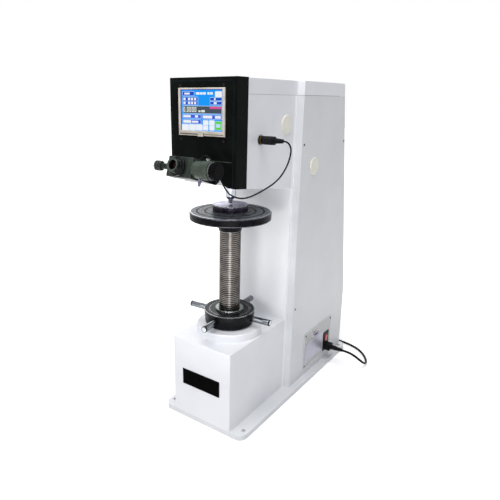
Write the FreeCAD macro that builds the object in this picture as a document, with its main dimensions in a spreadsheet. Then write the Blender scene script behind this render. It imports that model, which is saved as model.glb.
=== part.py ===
"""Digital Brinell hardness tester with a measuring eyepiece, as a parametric FreeCAD document.

Origin on the floor under the screw axis. +X right, +Y to the rear, +Z up. Millimetres.
"""
import FreeCAD, Part
import Sketcher
import math
import os
import re
from FreeCAD import Rotation, Vector

doc = FreeCAD.newDocument("hardness_tester")
sheet = doc.addObject("Spreadsheet::Sheet", "Sizes")

SIZES = {
    # Overall frame
    "total_height": 842.0,
    "frame_width": 178.0,
    "frame_front": -119.0,
    "column_front": 137.0,
    "column_depth": 90.0,
    "column_wall": 12.0,
    "pedestal_top": 225.0,
    "casting_wall": 14.0,
    # Base plate
    "plate_flange": 19.0,
    "plate_rear": 502.0,
    "plate_height": 14.0,
    "plate_corner": 22.0,
    "bolt_radius": 5.5,
    "bolt_inset": 14.0,
    # Head
    "head_front": -66.0,
    "head_front_low_drop": 230.5,
    "head_rear_low_drop": 257.0,
    "head_wall": 8.0,
    "cap_seam_drop": 33.2,
    "cap_wall": 3.0,
    # Rear cabinet
    "cabinet_overhang": 19.0,
    "cabinet_front": 146.4,
    "cabinet_rear": 489.0,
    "cabinet_kink": 210.0,
    "cabinet_top_rear": 377.0,
    "sheet_wall": 2.0,
    # Front cover and display
    "cover_front": -108.6,
    "cover_lip": 1.0,
    "cover_low_drop": 196.0,
    "cover_low_right_drop": 226.0,
    "cover_notch": 47.0,
    "cover_bend": 28.0,
    "cover_wall": 3.0,
    "rim_width": 6.5,
    "recess_depth": 1.2,
    "hatch_seam_drop": 170.0,
    "seam_gap": 0.8,
    "hatch_inset": 2.0,
    "screen_middle_drop": 68.0,
    "screen_width": 113.0,
    "screen_height": 87.0,
    "bezel_side": 6.5,
    "bezel_sill": 8.0,
    "bezel_head": 3.5,
    "bezel_proud": 3.2,
    "display_depth": 24.0,
    "display_screw_across": 58.0,
    "display_screw_below": 8.5,
    "display_screw_above": 5.0,
    "slot_across": 76.0,
    "slot_width": 2.6,
    "slot_height": 14.0,
    "slot_drop": 136.0,
    # Screw, handwheel and anvil
    "screw_radius": 27.0,
    "screw_run": 0.06,
    "screw_bottom": 219.0,
    "boss_radius": 84.0,
    "boss_height": 20.0,
    "wheel_radius": 65.0,
    "wheel_low": 246.5,
    "wheel_high": 284.0,
    "wheel_nut_radius": 36.0,
    "wheel_nut_proud": 3.0,
    "spoke_radius": 5.5,
    "spoke_reach": 117.0,
    "spoke_level": 269.5,
    "spoke_turn": 5.0,
    "anvil_radius": 100.0,
    "anvil_top_drop": 302.0,
    "anvil_thick": 19.0,
    "groove_inner": 62.0,
    "groove_outer": 82.0,
    "groove_width": 1.6,
    "groove_depth": 1.0,
    "block_radius": 43.5,
    "block_height": 17.0,
    # Indenter and turret
    "turret_radius": 62.0,
    "turret_thick": 16.0,
    "turret_level_drop": 238.0,
    "turret_gap": 3.0,
    "turret_swing": 34.0,
    "indenter_clear": 2.0,
    "ball_radius": 5.0,
    "holder_radius": 13.0,
    "rod_radius": 6.0,
    "rod_run": 0.05,
    # Measuring eyepiece
    "eye_tilt": 17.0,
    "fit_gap": 0.3,
    "eye_axis_y": -169.0,
    "eye_axis_z_drop": 182.5,
    "eye_block_width": 66.0,
    "eye_block_height": 43.0,
    "eye_block_depth": 30.0,
    "tube_radius": 16.0,
    "tube_end": 118.0,
    "barrel_length": 20.0,
    "barrel_base_radius": 20.0,
    "barrel_eye_radius": 13.0,
    "spigot_radius": 14.0,
    "spigot_run": 0.06,
    "lens_radius": 9.5,
    "line_knob_radius": 10.5,
    "line_knob_neck": 6.5,
    "line_knob_end": 80.0,
    "line_knob_head": 19.0,
    "housing_radius": 18.0,
    "housing_length": 20.0,
    "ring_radius": 19.6,
    "ring_length": 21.0,
    "drum_radius": 17.6,
    "drum_length": 19.0,
    "drum_gap": 0.4,
    "stem_radius": 5.0,
    "button_radius": 3.4,
    "button_reach": 16.0,
    # Sockets, plugs and panel on the right side
    "hole_plug_radius": 23.0,
    "hole_plug_proud": 3.0,
    "head_plug_y": 98.8,
    "head_plug_z_drop": 100.0,
    "cabinet_plug_y": 219.0,
    "cabinet_plug_z_drop": 207.0,
    "din_y": -13.0,
    "din_z_drop": 129.0,
    "din_plug_radius": 9.0,
    "din_plug_length": 35.0,
    "din_relief_radius": 5.5,
    "din_tail": 57.0,
    "panel_front": 225.0,
    "panel_rear": 403.0,
    "panel_low": 36.0,
    "panel_high": 148.0,
    "panel_thick": 2.0,
    "panel_screw_inset": 6.5,
    "data_front": 231.0,
    "data_rear": 347.0,
    "data_low": 52.0,
    "data_high": 114.0,
    "inlet_front": 353.0,
    "inlet_rear": 387.0,
    "inlet_low": 42.0,
    "inlet_high": 104.0,
    "inlet_proud": 2.5,
    "inlet_margin": 3.0,
    "rocker_z": 83.0,
    "rocker_height": 20.0,
    "rocker_width": 14.0,
    "rocker_pin_radius": 1.5,
    "rocker_pin_reach": 1.5,
    "rocker_pin_depth": 1.0,
    "socket_z": 56.0,
    "mains_y": 370.0,
    "connector_length": 19.0,
    "relief_length": 38.0,
    "serial_y": 289.0,
    "serial_z": 129.5,
    # Nameplate
    "nameplate_width": 116.0,
    "nameplate_low": 100.0,
    "nameplate_height": 43.0,
    "nameplate_thick": 1.2,
    # Rear door, edges and small parts
    "door_width": 180.0,
    "door_low": 30.0,
    "door_high": 198.0,
    "door_lap": 12.0,
    "cap_edge": 1.5,
    "cover_edge": 2.5,
    "bezel_edge": 1.0,
    "latch_width": 14.0,
    "latch_height": 7.0,
    "latch_proud": 2.0,
    "small_screw": 2.6,
    "case_screw_inset": 12.1,
    "case_screw_rise": 27.0,
    "case_screw_drop": 149.5,
    "case_screw_rear_inset": 21.0,
    "case_screw_rear_drop": 153.0,
    "spoke_seat": 56.0,
    "spigot_size": 16.0,
    "key_width": 8.0,
    "key_depth": 3.5,
    "key_run": 0.3,
    "flange_radius": 38.0,
    "flange_thick": 5.0,
    "turret_pivot": 12.0,
    "bearing_low_drop": 210.0,
    "bridge_front": -40.0,
    "bridge_level_drop": 178.0,
    "bridge_thick": 10.0,
    "holder_low_drop": 266.0,
    "objective_low_drop": 250.0,
    "objective_radius": 11.0,
    "spindle_radius": 8.0,
    "spindle_low_drop": 210.0,
    "spindle_gap": 2.0,
    "cell_low_drop": 142.0,
    "cell_radius": 22.0,
    "lever_low_drop": 104.0,
    "lever_high_drop": 66.0,
    "lever_width": 24.0,
    "lever_rear": 322.0,
    "lever_pivot_y": 60.0,
    "lever_pin_radius": 7.0,
    "window_gap": 8.0,
    "load_screw_radius": 8.0,
    "motor_low_drop": 282.0,
    "motor_high_drop": 152.0,
    "motor_radius": 32.0,
    "motor_shelf_depth": 140.0,
    "board_width": 150.0,
    "board_low": 300.0,
    "board_height": 200.0,
    "board_stand": 10.0,
    "board_inset": 8.0,
    "barrel_seat": 4.0,
    "drum_stem": 12.0,
    "button_stem": 2.4,
    "inlet_depth": 26.0,
    "serial_width": 31.0,
    "serial_height": 11.0,
    "serial_flange_width": 40.0,
    "data_thick": 1.2,
    "nose_width": 24.0,
    "nose_height": 16.0,
    "nose_length": 16.0,
    "relief_radius": 7.0,
    # Cords
    "cable_radius": 1.75,
    "lead_radius": 3.5,
    "coil_middle": 38.5,
    "coil_turns_across": 3,
    "coil_layers": 2,
    "coil_y": 572.0,
    "mains_plug_radius": 13.0,
    "mains_plug_y": 524.0,
    "mains_plug_end": 72.0,
}

# Sizes worked out from others in the sheet: a level keeps its drop below the top, so the head moves as one
DERIVED = {name[:-len("_drop")]: "total_height - " + name for name in SIZES if name.endswith("_drop")}
DERIVED.update({
    "cabinet_width": "frame_width + 2 * cabinet_overhang",
    "plate_width": "cabinet_width + 2 * plate_flange",
    "cover_width": "frame_width + 2 * cover_lip",
    "bezel_width": "screen_width + 2 * bezel_side",
    "bezel_low": "screen_middle - screen_height / 2 - bezel_sill",
    "bezel_high": "screen_middle + screen_height / 2 + bezel_head",
    "display_screw_low": "bezel_low - display_screw_below",
    "display_screw_high": "bezel_high + display_screw_above",
})

cells = dict(SIZES, **{name: "=" + formula for name, formula in DERIVED.items()})
for row, (alias, value) in enumerate(cells.items(), start=1):
    sheet.set("A%d" % row, alias)
    sheet.setAlias("B%d" % row, alias)
for row, value in enumerate(cells.values(), start=1):
    sheet.set("B%d" % row, str(value))
doc.recompute()

nodes = []


# Helpers that bind every object to the sheet

def cell(word):
    return float(sheet.get(word))


def words(text):
    """Puts the sheet's name before each size in an expression."""
    return re.sub(r"[a-z_]*[a-z]", lambda m: "Sizes." + m.group(0) if m.group(0) in cells else m.group(0),
                  text)


def place(obj, at=("0", "0", "0"), axis=None, angle="0"):
    if axis is not None:
        obj.Placement = FreeCAD.Placement(Vector(0, 0, 0), Rotation(Vector(*axis), 1))
        obj.setExpression("Placement.Rotation.Angle", words(angle))
    for letter, text in zip("xyz", at):
        obj.setExpression("Placement.Base." + letter, words(text))
    return obj


def block(name, at, length, width, height, axis=None, angle="0"):
    box = doc.addObject("Part::Box", name)
    box.setExpression("Length", words(length))
    box.setExpression("Width", words(width))
    box.setExpression("Height", words(height))
    return place(box, at, axis, angle)


def disc(name, radius, height, at=("0", "0", "0"), axis=None, angle="0"):
    cylinder = doc.addObject("Part::Cylinder", name)
    cylinder.setExpression("Radius", words(radius))
    cylinder.setExpression("Height", words(height))
    return place(cylinder, at, axis, angle)


def cut(name, base, *tools):
    if len(tools) > 1:
        tool = doc.addObject("Part::MultiFuse", name + "_tools")
        tool.Shapes = list(tools)
    else:
        tool = tools[0]
    result = doc.addObject("Part::Cut", name)
    result.Base = base
    result.Tool = tool
    return result


def fuse(name, *parts):
    result = doc.addObject("Part::MultiFuse", name)
    result.Shapes = list(parts)
    return result


def common(name, first, second):
    result = doc.addObject("Part::Common", name)
    result.Base = first
    result.Tool = second
    return result


def group(name, *parts):
    result = doc.addObject("Part::Compound", name)
    result.Links = list(parts)
    return result


def origin_plane(body, role):
    return next(item for item in body.Origin.OriginFeatures if item.Role == role)


def outline(body, name, role, points):
    """Closed polygon whose corners are bound to the sheet."""
    sketch = body.newObject("Sketcher::SketchObject", name)
    sketch.AttachmentSupport = [(origin_plane(body, role), "")]
    sketch.MapMode = "FlatFace"
    count = len(points)
    start = [Vector(10 * math.cos(2 * math.pi * i / count), 10 * math.sin(2 * math.pi * i / count), 0)
             for i in range(count)]
    for i in range(count):
        sketch.addGeometry(Part.LineSegment(start[i], start[(i + 1) % count]), False)
    for i in range(count):
        sketch.addConstraint(Sketcher.Constraint("Coincident", i, 2, (i + 1) % count, 1))
    for i, (across, up) in enumerate(points):
        for kind, text, value in (("DistanceX", across, start[i].x), ("DistanceY", up, start[i].y)):
            index = sketch.addConstraint(Sketcher.Constraint(kind, -1, 1, i, 1, value))
            sketch.setExpression("Constraints[%d]" % index, words(text))
    return sketch


def prism(name, role, points, length, symmetric=True, reverse=False):
    """Padded outline: across X when drawn on YZ, along Y on XZ, up Z on XY."""
    body = doc.addObject("PartDesign::Body", name)
    sketch = outline(body, name + "_outline", role, points)
    pad = body.newObject("PartDesign::Pad", name + "_pad")
    pad.Profile = sketch
    pad.setExpression("Length", words(length))
    if symmetric:
        pad.SideType = "Symmetric"
    pad.Reversed = reverse
    doc.recompute()
    return body


def turned(name, points, at=("0", "0", "0"), axis=None, angle="0"):
    """Outline of radius and height, turned about Z."""
    body = doc.addObject("PartDesign::Body", name)
    sketch = outline(body, name + "_outline", "XZ_Plane", points)
    turn = body.newObject("PartDesign::Revolution", name + "_turn")
    turn.Profile = sketch
    turn.ReferenceAxis = (sketch, ["V_Axis"])
    turn.Angle = 360
    doc.recompute()
    return place(body, at, axis, angle)


def edges(obj, test):
    return [i + 1 for i, edge in enumerate(obj.Shape.Edges) if test(edge)]


def is_upright(edge):
    box = edge.BoundBox
    return box.XLength < 0.01 and box.YLength < 0.01 and box.ZLength > 1


def rounded(name, base, radius, test):
    """Fillet on the edges that the test picks."""
    doc.recompute()
    result = doc.addObject("Part::Fillet", name)
    result.Base = base
    result.Edges = [(index, cell(radius), cell(radius)) for index in edges(base, test)]
    return result


def keep(obj, node):
    obj.Label = node
    nodes.append(obj)
    return obj


X_AXIS, Y_AXIS, Z_AXIS = (1, 0, 0), (0, 1, 0), (0, 0, 1)
LEFT, RIGHT = "-", "+"


# Base plate with rounded corners and four bench bolt holes
plate_blank = block("plate_blank", ("-plate_width / 2", "frame_front", "0"),
                    "plate_width", "plate_rear - frame_front", "plate_height")
plate_round = rounded("plate_round", plate_blank, "plate_corner", is_upright)
bolt_holes = []
for side in (LEFT, RIGHT):
    for end, at_y in (("front", "frame_front + bolt_inset + bolt_inset"),
                      ("rear", "plate_rear - bolt_inset - bolt_inset")):
        bolt_holes.append(disc("bolt_%s_%s" % ("left" if side == LEFT else "right", end), "bolt_radius",
                               "plate_height + 2", (side + "(plate_width / 2 - bolt_inset)", at_y, "-1")))
keep(cut("plate_cut", plate_round, *bolt_holes), "base_plate")

# Pedestal casting, open underneath, with the bore that guides the screw
pedestal_blank = prism("pedestal_blank", "YZ_Plane",
                       [("frame_front", "plate_height"), ("column_front", "plate_height"),
                        ("column_front", "pedestal_top"), ("frame_front", "pedestal_top")], "frame_width")
pedestal_round = rounded("pedestal_round", pedestal_blank, "cap_wall",
                         lambda edge: is_upright(edge) and edge.BoundBox.YMax < 0)
pedestal_hollow = block("pedestal_hollow", ("-frame_width / 2 + casting_wall", "frame_front + casting_wall",
                                            "plate_height - 1"),
                        "frame_width - 2 * casting_wall", "column_front - frame_front - 2 * casting_wall",
                        "pedestal_top - plate_height - 2 * casting_wall + 1")
pedestal_bore = disc("pedestal_bore", "screw_radius + 4", "3 * casting_wall",
                     ("0", "0", "pedestal_top - 2.5 * casting_wall"))
keep(cut("pedestal_cut", pedestal_round, pedestal_hollow, pedestal_bore), "pedestal")

# Box column between pedestal and head
column_blank = block("column_blank", ("-frame_width / 2", "column_front", "plate_height"),
                     "frame_width", "column_depth", "cap_seam - plate_height")
column_hollow = block("column_hollow", ("-frame_width / 2 + column_wall", "column_front + column_wall",
                                        "plate_height - 1"),
                      "frame_width - 2 * column_wall", "column_depth - 2 * column_wall",
                      "cap_seam - plate_height + 2")
lever_window = block("lever_window", ("-lever_width / 2 - window_gap", "column_front - 1",
                                      "lever_low - window_gap"),
                     "lever_width + 2 * window_gap", "column_depth + 2",
                     "lever_high - lever_low + 2 * window_gap")
keep(cut("column_cut", column_blank, column_hollow, lever_window), "column")

# Head: side walls, front wall and a sloping floor with the turret opening
head_blank = prism("head_blank", "YZ_Plane",
                   [("head_front", "head_front_low"), ("column_front", "head_rear_low"),
                    ("column_front", "cap_seam"), ("head_front", "cap_seam")], "frame_width")
head_hollow = prism("head_hollow", "YZ_Plane",
                    [("head_front + head_wall", "head_front_low + head_wall"),
                     ("column_front + 1", "head_rear_low + head_wall"),
                     ("column_front + 1", "cap_seam + 1"), ("head_front + head_wall", "cap_seam + 1")],
                    "frame_width - 2 * head_wall")
head_floor_hole = disc("head_floor_hole", "turret_radius + turret_gap", "4 * head_wall + 30",
                       ("0", "turret_swing", "head_rear_low - head_wall"))
head_tube_hole = disc("head_tube_hole", "tube_radius + fit_gap", "tube_end + 40",
                      ("0", "eye_axis_y", "eye_axis_z"), X_AXIS, "-90 - eye_tilt")
head_socket_hole = disc("head_socket_hole", "din_plug_radius", "3 * head_wall",
                        ("frame_width / 2 - 2 * head_wall", "din_y", "din_z"), Y_AXIS, "90")
head_plug_holes = disc("head_plug_holes", "hole_plug_radius - 3", "frame_width + 2",
                       ("-frame_width / 2 - 1", "head_plug_y", "head_plug_z"), Y_AXIS, "90")
keep(cut("head_cut", head_blank, head_hollow, head_floor_hole, head_tube_hole, head_socket_hole,
         head_plug_holes),
     "head_frame")


def rear_at(level):
    """Place of the cabinet's sloping back at a height."""
    return ("cabinet_rear - (cabinet_rear - cabinet_top_rear) * (%s - cabinet_kink)"
            " / (total_height - cabinet_kink)" % level)


# Sheet-metal rear cabinet, open to the column in front and covered on top
cabinet_blank = prism("cabinet_blank", "YZ_Plane",
                      [("cabinet_front", "plate_height"), ("cabinet_rear", "plate_height"),
                       ("cabinet_rear", "cabinet_kink"), (rear_at("cap_seam"), "cap_seam"),
                       ("cabinet_front", "cap_seam")], "cabinet_width")
cabinet_hollow = prism("cabinet_hollow", "YZ_Plane",
                       [("cabinet_front + sheet_wall", "plate_height - 1"),
                        ("cabinet_rear - sheet_wall", "plate_height - 1"),
                        ("cabinet_rear - sheet_wall", "cabinet_kink"),
                        (rear_at("cap_seam + 1") + " - sheet_wall", "cap_seam + 1"),
                        ("cabinet_front + sheet_wall", "cap_seam + 1")], "cabinet_width - 2 * sheet_wall")
cabinet_mouth = block("cabinet_mouth", ("-frame_width / 2", "cabinet_front - 1", "plate_height - 1"),
                      "frame_width", "sheet_wall + 2", "cap_seam - plate_height + 2")
cabinet_plug_holes = disc("cabinet_plug_holes", "hole_plug_radius - 3", "cabinet_width + 2",
                          ("-cabinet_width / 2 - 1", "cabinet_plug_y", "cabinet_plug_z"), Y_AXIS, "90")
cabinet_access = block("cabinet_access",
                       ("cabinet_width / 2 - 2 * sheet_wall", "panel_front + 2 * panel_screw_inset",
                        "inlet_low + inlet_margin / 2"), "3 * sheet_wall",
                       "panel_rear - panel_front - 4 * panel_screw_inset",
                       "panel_high - 2 * panel_screw_inset - inlet_low - inlet_margin / 2")
door_opening = block("door_opening", ("-door_width / 2 + door_lap", "cabinet_rear - 2 * sheet_wall",
                                      "door_low + door_lap"),
                     "door_width - 2 * door_lap", "3 * sheet_wall", "door_high - door_low - 2 * door_lap")
keep(cut("cabinet_cut", cabinet_blank, cabinet_hollow, cabinet_mouth, cabinet_plug_holes, cabinet_access,
         door_opening),
     "rear_cabinet")
keep(block("door", ("-door_width / 2", "cabinet_rear", "door_low"), "door_width", "sheet_wall",
           "door_high - door_low"),
     "rear_door")

# One folded cap over head and cabinet
cap_plan = prism("cap_plan", "XY_Plane",
                 [("-frame_width / 2", "head_front"), ("frame_width / 2", "head_front"),
                  ("frame_width / 2", "cabinet_front"), ("cabinet_width / 2", "cabinet_front"),
                  ("cabinet_width / 2", "cabinet_rear"), ("-cabinet_width / 2", "cabinet_rear"),
                  ("-cabinet_width / 2", "cabinet_front"), ("-frame_width / 2", "cabinet_front")],
                 "2 * total_height")
cap_side = prism("cap_side", "YZ_Plane",
                 [("head_front", "cap_seam"), (rear_at("cap_seam"), "cap_seam"),
                  ("cabinet_top_rear", "total_height"), ("head_front", "total_height")], "2 * cabinet_width")
cap_solid = common("cap_solid", cap_plan, cap_side)
cap_round = rounded("cap_round", cap_solid, "cap_edge",
                    lambda edge: (edge.BoundBox.ZMin > cell("total_height") - 0.01
                                  and edge.BoundBox.YMax > cell("head_front") + 1))
cap_room = prism("cap_room", "XY_Plane",
                 [("-frame_width / 2 + cap_wall", "head_front + cap_wall"),
                  ("frame_width / 2 - cap_wall", "head_front + cap_wall"),
                  ("frame_width / 2 - cap_wall", "cabinet_front + cap_wall"),
                  ("cabinet_width / 2 - cap_wall", "cabinet_front + cap_wall"),
                  ("cabinet_width / 2 - cap_wall", "cabinet_top_rear - cap_wall"),
                  ("-cabinet_width / 2 + cap_wall", "cabinet_top_rear - cap_wall"),
                  ("-cabinet_width / 2 + cap_wall", "cabinet_front + cap_wall"),
                  ("-frame_width / 2 + cap_wall", "cabinet_front + cap_wall")],
                 "total_height - cap_wall - cap_seam + 1", symmetric=False)
place(cap_room, ("0", "0", "cap_seam - 1"))
keep(cut("cap_cut", cap_round, cap_room), "top_cap")

# Black front cover: its lower edge drops in an arc on the right
cover_plan = prism("cover_plan", "YZ_Plane",
                   [("cover_front", "cover_low_right"), ("head_front", "head_front_low"),
                    ("head_front", "total_height"), ("cover_front", "total_height")], "cover_width")
cover_round = rounded("cover_round", cover_plan, "cover_edge",
                      lambda edge: (edge.BoundBox.YMax < cell("cover_front") + 0.01
                                    and edge.BoundBox.ZMax > cell("cover_low")))
cover_room = block("cover_room", ("-cover_width / 2 + cover_wall", "cover_front + cover_wall",
                                  "cover_low_right - 20"),
                   "cover_width - 2 * cover_wall", "head_front - cover_front",
                   "total_height - cover_wall - cover_low_right + 20")
cover_step = block("cover_step", ("-cover_width / 2 - 1", "cover_front - 1", "head_front_low - 1"),
                   "cover_width / 2 + cover_notch + 1", "head_front - cover_front + 2",
                   "cover_low - head_front_low + 1")


def corner_tool(name, inset):
    """What a rounded lower corner lacks of a square one, as deep as the cover."""
    low = "cover_low_right + %s" % inset
    side = "cover_notch + %s" % inset
    square = block(name + "_square", (side + " - 1", "cover_front - 1", low + " - 1"),
                   "cover_bend + 1", "head_front - cover_front + 2", "cover_bend + 1")
    bend = disc(name + "_bend", "cover_bend", "head_front - cover_front + 4",
                (side + " + cover_bend", "head_front + 2", low + " + cover_bend"), X_AXIS, "90")
    return cut(name, square, bend)


cover_corner = corner_tool("cover_corner", "0")
cover_recess = block("cover_recess", ("-cover_width / 2 + rim_width", "cover_front - 1", "head_front_low"),
                     "cover_width - 2 * rim_width", "recess_depth + 1",
                     "total_height - rim_width - head_front_low")
window = block("window", ("-screen_width / 2 - seam_gap", "cover_front - 1",
                          "screen_middle - screen_height / 2 - seam_gap"),
               "screen_width + 2 * seam_gap", "cover_wall + 2", "screen_height + 2 * seam_gap")
keep(cut("cover_cut", cover_round, cover_room, cover_step, cover_corner, cover_recess, window,
         head_tube_hole),
     "front_cover")

# Plates let into the cover
panel_blank = block("panel_blank", ("-cover_width / 2 + rim_width + seam_gap", "cover_front",
                                    "hatch_seam + seam_gap / 2"),
                    "cover_width - 2 * rim_width - 2 * seam_gap", "recess_depth",
                    "total_height - rim_width - seam_gap - hatch_seam - seam_gap / 2")
panel_slot = block("panel_slot", ("slot_across - slot_width / 2", "cover_front - 1",
                                  "slot - slot_height / 2"),
                   "slot_width", "recess_depth + 2", "slot_height")
keep(cut("panel_cut", panel_blank, window, panel_slot), "display_panel")
hatch_blank = block("hatch_blank", ("-cover_width / 2 + rim_width + seam_gap", "cover_front",
                                    "cover_low_right + hatch_inset"),
                    "cover_width - 2 * rim_width - 2 * seam_gap", "recess_depth",
                    "hatch_seam - seam_gap / 2 - cover_low_right - hatch_inset")
hatch_step = block("hatch_step", ("-cover_width / 2 - 1", "cover_front - 1", "cover_low_right - 1"),
                   "cover_width / 2 + cover_notch + hatch_inset + 1", "recess_depth + 2",
                   "cover_low + hatch_inset - cover_low_right + 1")
hatch_corner = corner_tool("hatch_corner", "hatch_inset")
keep(cut("hatch_cut", hatch_blank, hatch_step, hatch_corner, head_tube_hole), "lower_hatch")

# Display: bezel, touch screen, module behind the window and its screws
bezel_blank = block("bezel_blank", ("-bezel_width / 2", "cover_front - bezel_proud", "bezel_low"),
                    "bezel_width", "bezel_proud", "bezel_high - bezel_low")
bezel_round = rounded("bezel_round", bezel_blank, "bezel_edge",
                      lambda edge: edge.BoundBox.YMax < cell("cover_front") - 1)
bezel_hole = block("bezel_hole", ("-screen_width / 2 - fit_gap", "cover_front - bezel_proud - 1",
                                  "screen_middle - screen_height / 2 - fit_gap"),
                   "screen_width + 2 * fit_gap", "bezel_proud + 2", "screen_height + 2 * fit_gap")
bezel_frame = cut("bezel_frame", bezel_round, bezel_hole)
keep(block("screen", ("-screen_width / 2", "cover_front - bezel_proud / 2",
                      "screen_middle - screen_height / 2"),
           "screen_width", "bezel_proud / 2 + cover_wall", "screen_height"), "touch_screen")
keep(block("module", ("-bezel_width / 2", "cover_front + cover_wall", "bezel_low"),
           "bezel_width", "display_depth", "bezel_high - bezel_low"), "display_module")
latch = block("latch", ("-latch_width / 2", "cover_front - bezel_proud - latch_proud", "bezel_low - 1"),
              "latch_width", "latch_proud", "latch_height")
keep(group("bezel_set", bezel_frame, latch), "display_bezel")
display_screws = [disc("display_screw_%d" % index, "small_screw", "recess_depth",
                       (side + "display_screw_across", "cover_front", level), X_AXIS, "90")
                  for index, (side, level) in enumerate((side, level) for side in (LEFT, RIGHT)
                                                        for level in ("display_screw_low",
                                                                      "display_screw_high"))]

# Bare nameplate on the pedestal
keep(block("plate_face", ("-nameplate_width / 2", "frame_front - nameplate_thick", "nameplate_low"),
           "nameplate_width", "nameplate_thick", "nameplate_height"), "nameplate")

# Lifting screw, its handwheel nut and the anvil
keep(turned("boss", [("screw_radius + 4", "pedestal_top"), ("boss_radius", "pedestal_top"),
                     ("boss_radius", "pedestal_top + boss_height - 2"),
                     ("boss_radius - 2", "pedestal_top + boss_height"),
                     ("screw_radius + 4", "pedestal_top + boss_height")]), "boss_ring")
keep(turned("thrust", [("screw_radius + 4", "pedestal_top + boss_height"),
                       ("wheel_nut_radius + 4", "pedestal_top + boss_height"),
                       ("wheel_nut_radius + 4", "wheel_low"), ("screw_radius + 4", "wheel_low")]),
                       "thrust_bearing")
wheel_blank = turned("wheel_blank", [
    ("wheel_nut_radius", "wheel_low"), ("wheel_radius - 5", "wheel_low"),
    ("wheel_radius - 3", "wheel_low + 3"),
    ("wheel_radius", "wheel_high - 12"), ("wheel_radius", "wheel_high - 1.5"),
    ("wheel_radius - 1.5", "wheel_high"),
    ("wheel_radius - 9", "wheel_high"), ("wheel_radius - 10.5", "wheel_high - 1.5"),
    ("wheel_nut_radius", "wheel_high - 1.5")])
spokes = []
for turn in range(4):
    spoke = disc("spoke_%d" % turn, "spoke_radius", "spoke_reach - spoke_seat", ("0", "0", "spoke_level"))
    angle = math.radians(cell("spoke_turn") + 90 * turn)
    outward = Vector(math.cos(angle), math.sin(angle), 0)
    spoke.Placement = FreeCAD.Placement(outward * cell("spoke_seat"), Rotation(Vector(0, 0, 1), outward))
    direction = "((spoke_turn + %d) * 1deg)" % (90 * turn)
    spokes.append(place(spoke, ("spoke_seat * cos(%s)" % direction, "spoke_seat * sin(%s)" % direction,
                                "spoke_level")))
keep(cut("wheel_cut", wheel_blank, *spokes), "handwheel")
keep(group("spoke_set", *spokes), "handwheel_spokes")
keep(turned("nut", [("screw_radius + screw_run", "wheel_low"), ("wheel_nut_radius", "wheel_low"),
                    ("wheel_nut_radius", "wheel_high + wheel_nut_proud - 1"),
                    ("wheel_nut_radius - 1", "wheel_high + wheel_nut_proud"),
                    ("screw_radius + screw_run + 1", "wheel_high + wheel_nut_proud"),
                    ("screw_radius + screw_run", "wheel_high + wheel_nut_proud - 1")]), "screw_nut")
screw_blank = turned("screw_blank", [
    ("0", "screw_bottom"), ("screw_radius - 2", "screw_bottom"), ("screw_radius", "screw_bottom + 2"),
    ("screw_radius", "anvil_top - anvil_thick - flange_thick"),
    ("spigot_size", "anvil_top - anvil_thick - flange_thick"),
    ("spigot_size", "anvil_top - anvil_thick / 2"), ("0", "anvil_top - anvil_thick / 2")])
keyway = block("keyway", ("-key_width / 2", "screw_radius - key_depth", "screw_bottom - 1"), "key_width",
               "key_depth + 1",
               "anvil_top - anvil_thick - flange_thick - screw_bottom - 10")
keep(cut("screw_cut", screw_blank, keyway), "lead_screw")
keep(block("key", ("-key_width / 2 + key_run", "screw_radius - key_depth + key_run", "pedestal_top + 1"),
           "key_width - 2 * key_run", "key_depth + 3.4", "boss_height - 2"), "screw_key")
anvil_blank = turned("anvil_blank", [
    ("spigot_size", "anvil_top - anvil_thick - flange_thick"),
    ("flange_radius", "anvil_top - anvil_thick - flange_thick"),
    ("flange_radius + 4", "anvil_top - anvil_thick"), ("anvil_radius - 1.5", "anvil_top - anvil_thick"),
    ("anvil_radius", "anvil_top - anvil_thick + 1.5"), ("anvil_radius", "anvil_top - 1.5"),
    ("anvil_radius - 1.5", "anvil_top"),
    ("groove_outer + groove_width", "anvil_top"), ("groove_outer + groove_width", "anvil_top - groove_depth"),
    ("groove_outer", "anvil_top - groove_depth"), ("groove_outer", "anvil_top"),
    ("groove_inner + groove_width", "anvil_top"), ("groove_inner + groove_width", "anvil_top - groove_depth"),
    ("groove_inner", "anvil_top - groove_depth"), ("groove_inner", "anvil_top"), ("0", "anvil_top"),
    ("0", "anvil_top - anvil_thick / 2"), ("spigot_size", "anvil_top - anvil_thick / 2")])
keep(anvil_blank, "anvil")
keep(turned("standard", [("0", "anvil_top"), ("block_radius - 1", "anvil_top"),
                         ("block_radius", "anvil_top + 1"),
                         ("block_radius", "anvil_top + block_height - 1"),
                         ("block_radius - 1", "anvil_top + block_height"),
                         ("0", "anvil_top + block_height")]), "test_block")

# Turret under the head: it swings the indenter or an objective over the block
turret_at = ("0", "turret_swing", "0")
ball_level = "anvil_top + block_height + indenter_clear + ball_radius"
turret_blank = turned("turret_blank", [
    ("0", "turret_level"), ("turret_radius - 2", "turret_level"), ("turret_radius", "turret_level + 2"),
    ("turret_radius", "turret_level + turret_thick"), ("turret_pivot", "turret_level + turret_thick"),
    ("turret_pivot", "bridge_level + bridge_thick"), ("0", "bridge_level + bridge_thick")], turret_at)
rod_passage = disc("rod_passage", "rod_radius + 1", "turret_thick + 2", ("0", "0", "turret_level - 1"))
keep(cut("turret_cut", turret_blank, rod_passage), "turret_disc")
bridge_plate = block("bridge_plate", ("-frame_width / 2 + head_wall", "bridge_front", "bridge_level"),
                     "frame_width - 2 * head_wall", "column_front - bridge_front", "bridge_thick")
bridge_bearing = disc("bridge_bearing", "turret_pivot + 9", "bridge_level - bearing_low",
                      ("0", "turret_swing", "bearing_low"))
pivot_bore = disc("pivot_bore", "turret_pivot + rod_run", "bridge_level",
                  ("0", "turret_swing", "turret_level"))
spindle_bore = disc("spindle_bore", "spindle_radius + rod_run", "bridge_level", ("0", "0", "turret_level"))
bridge_solid = fuse("bridge_solid", bridge_plate, bridge_bearing)
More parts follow.
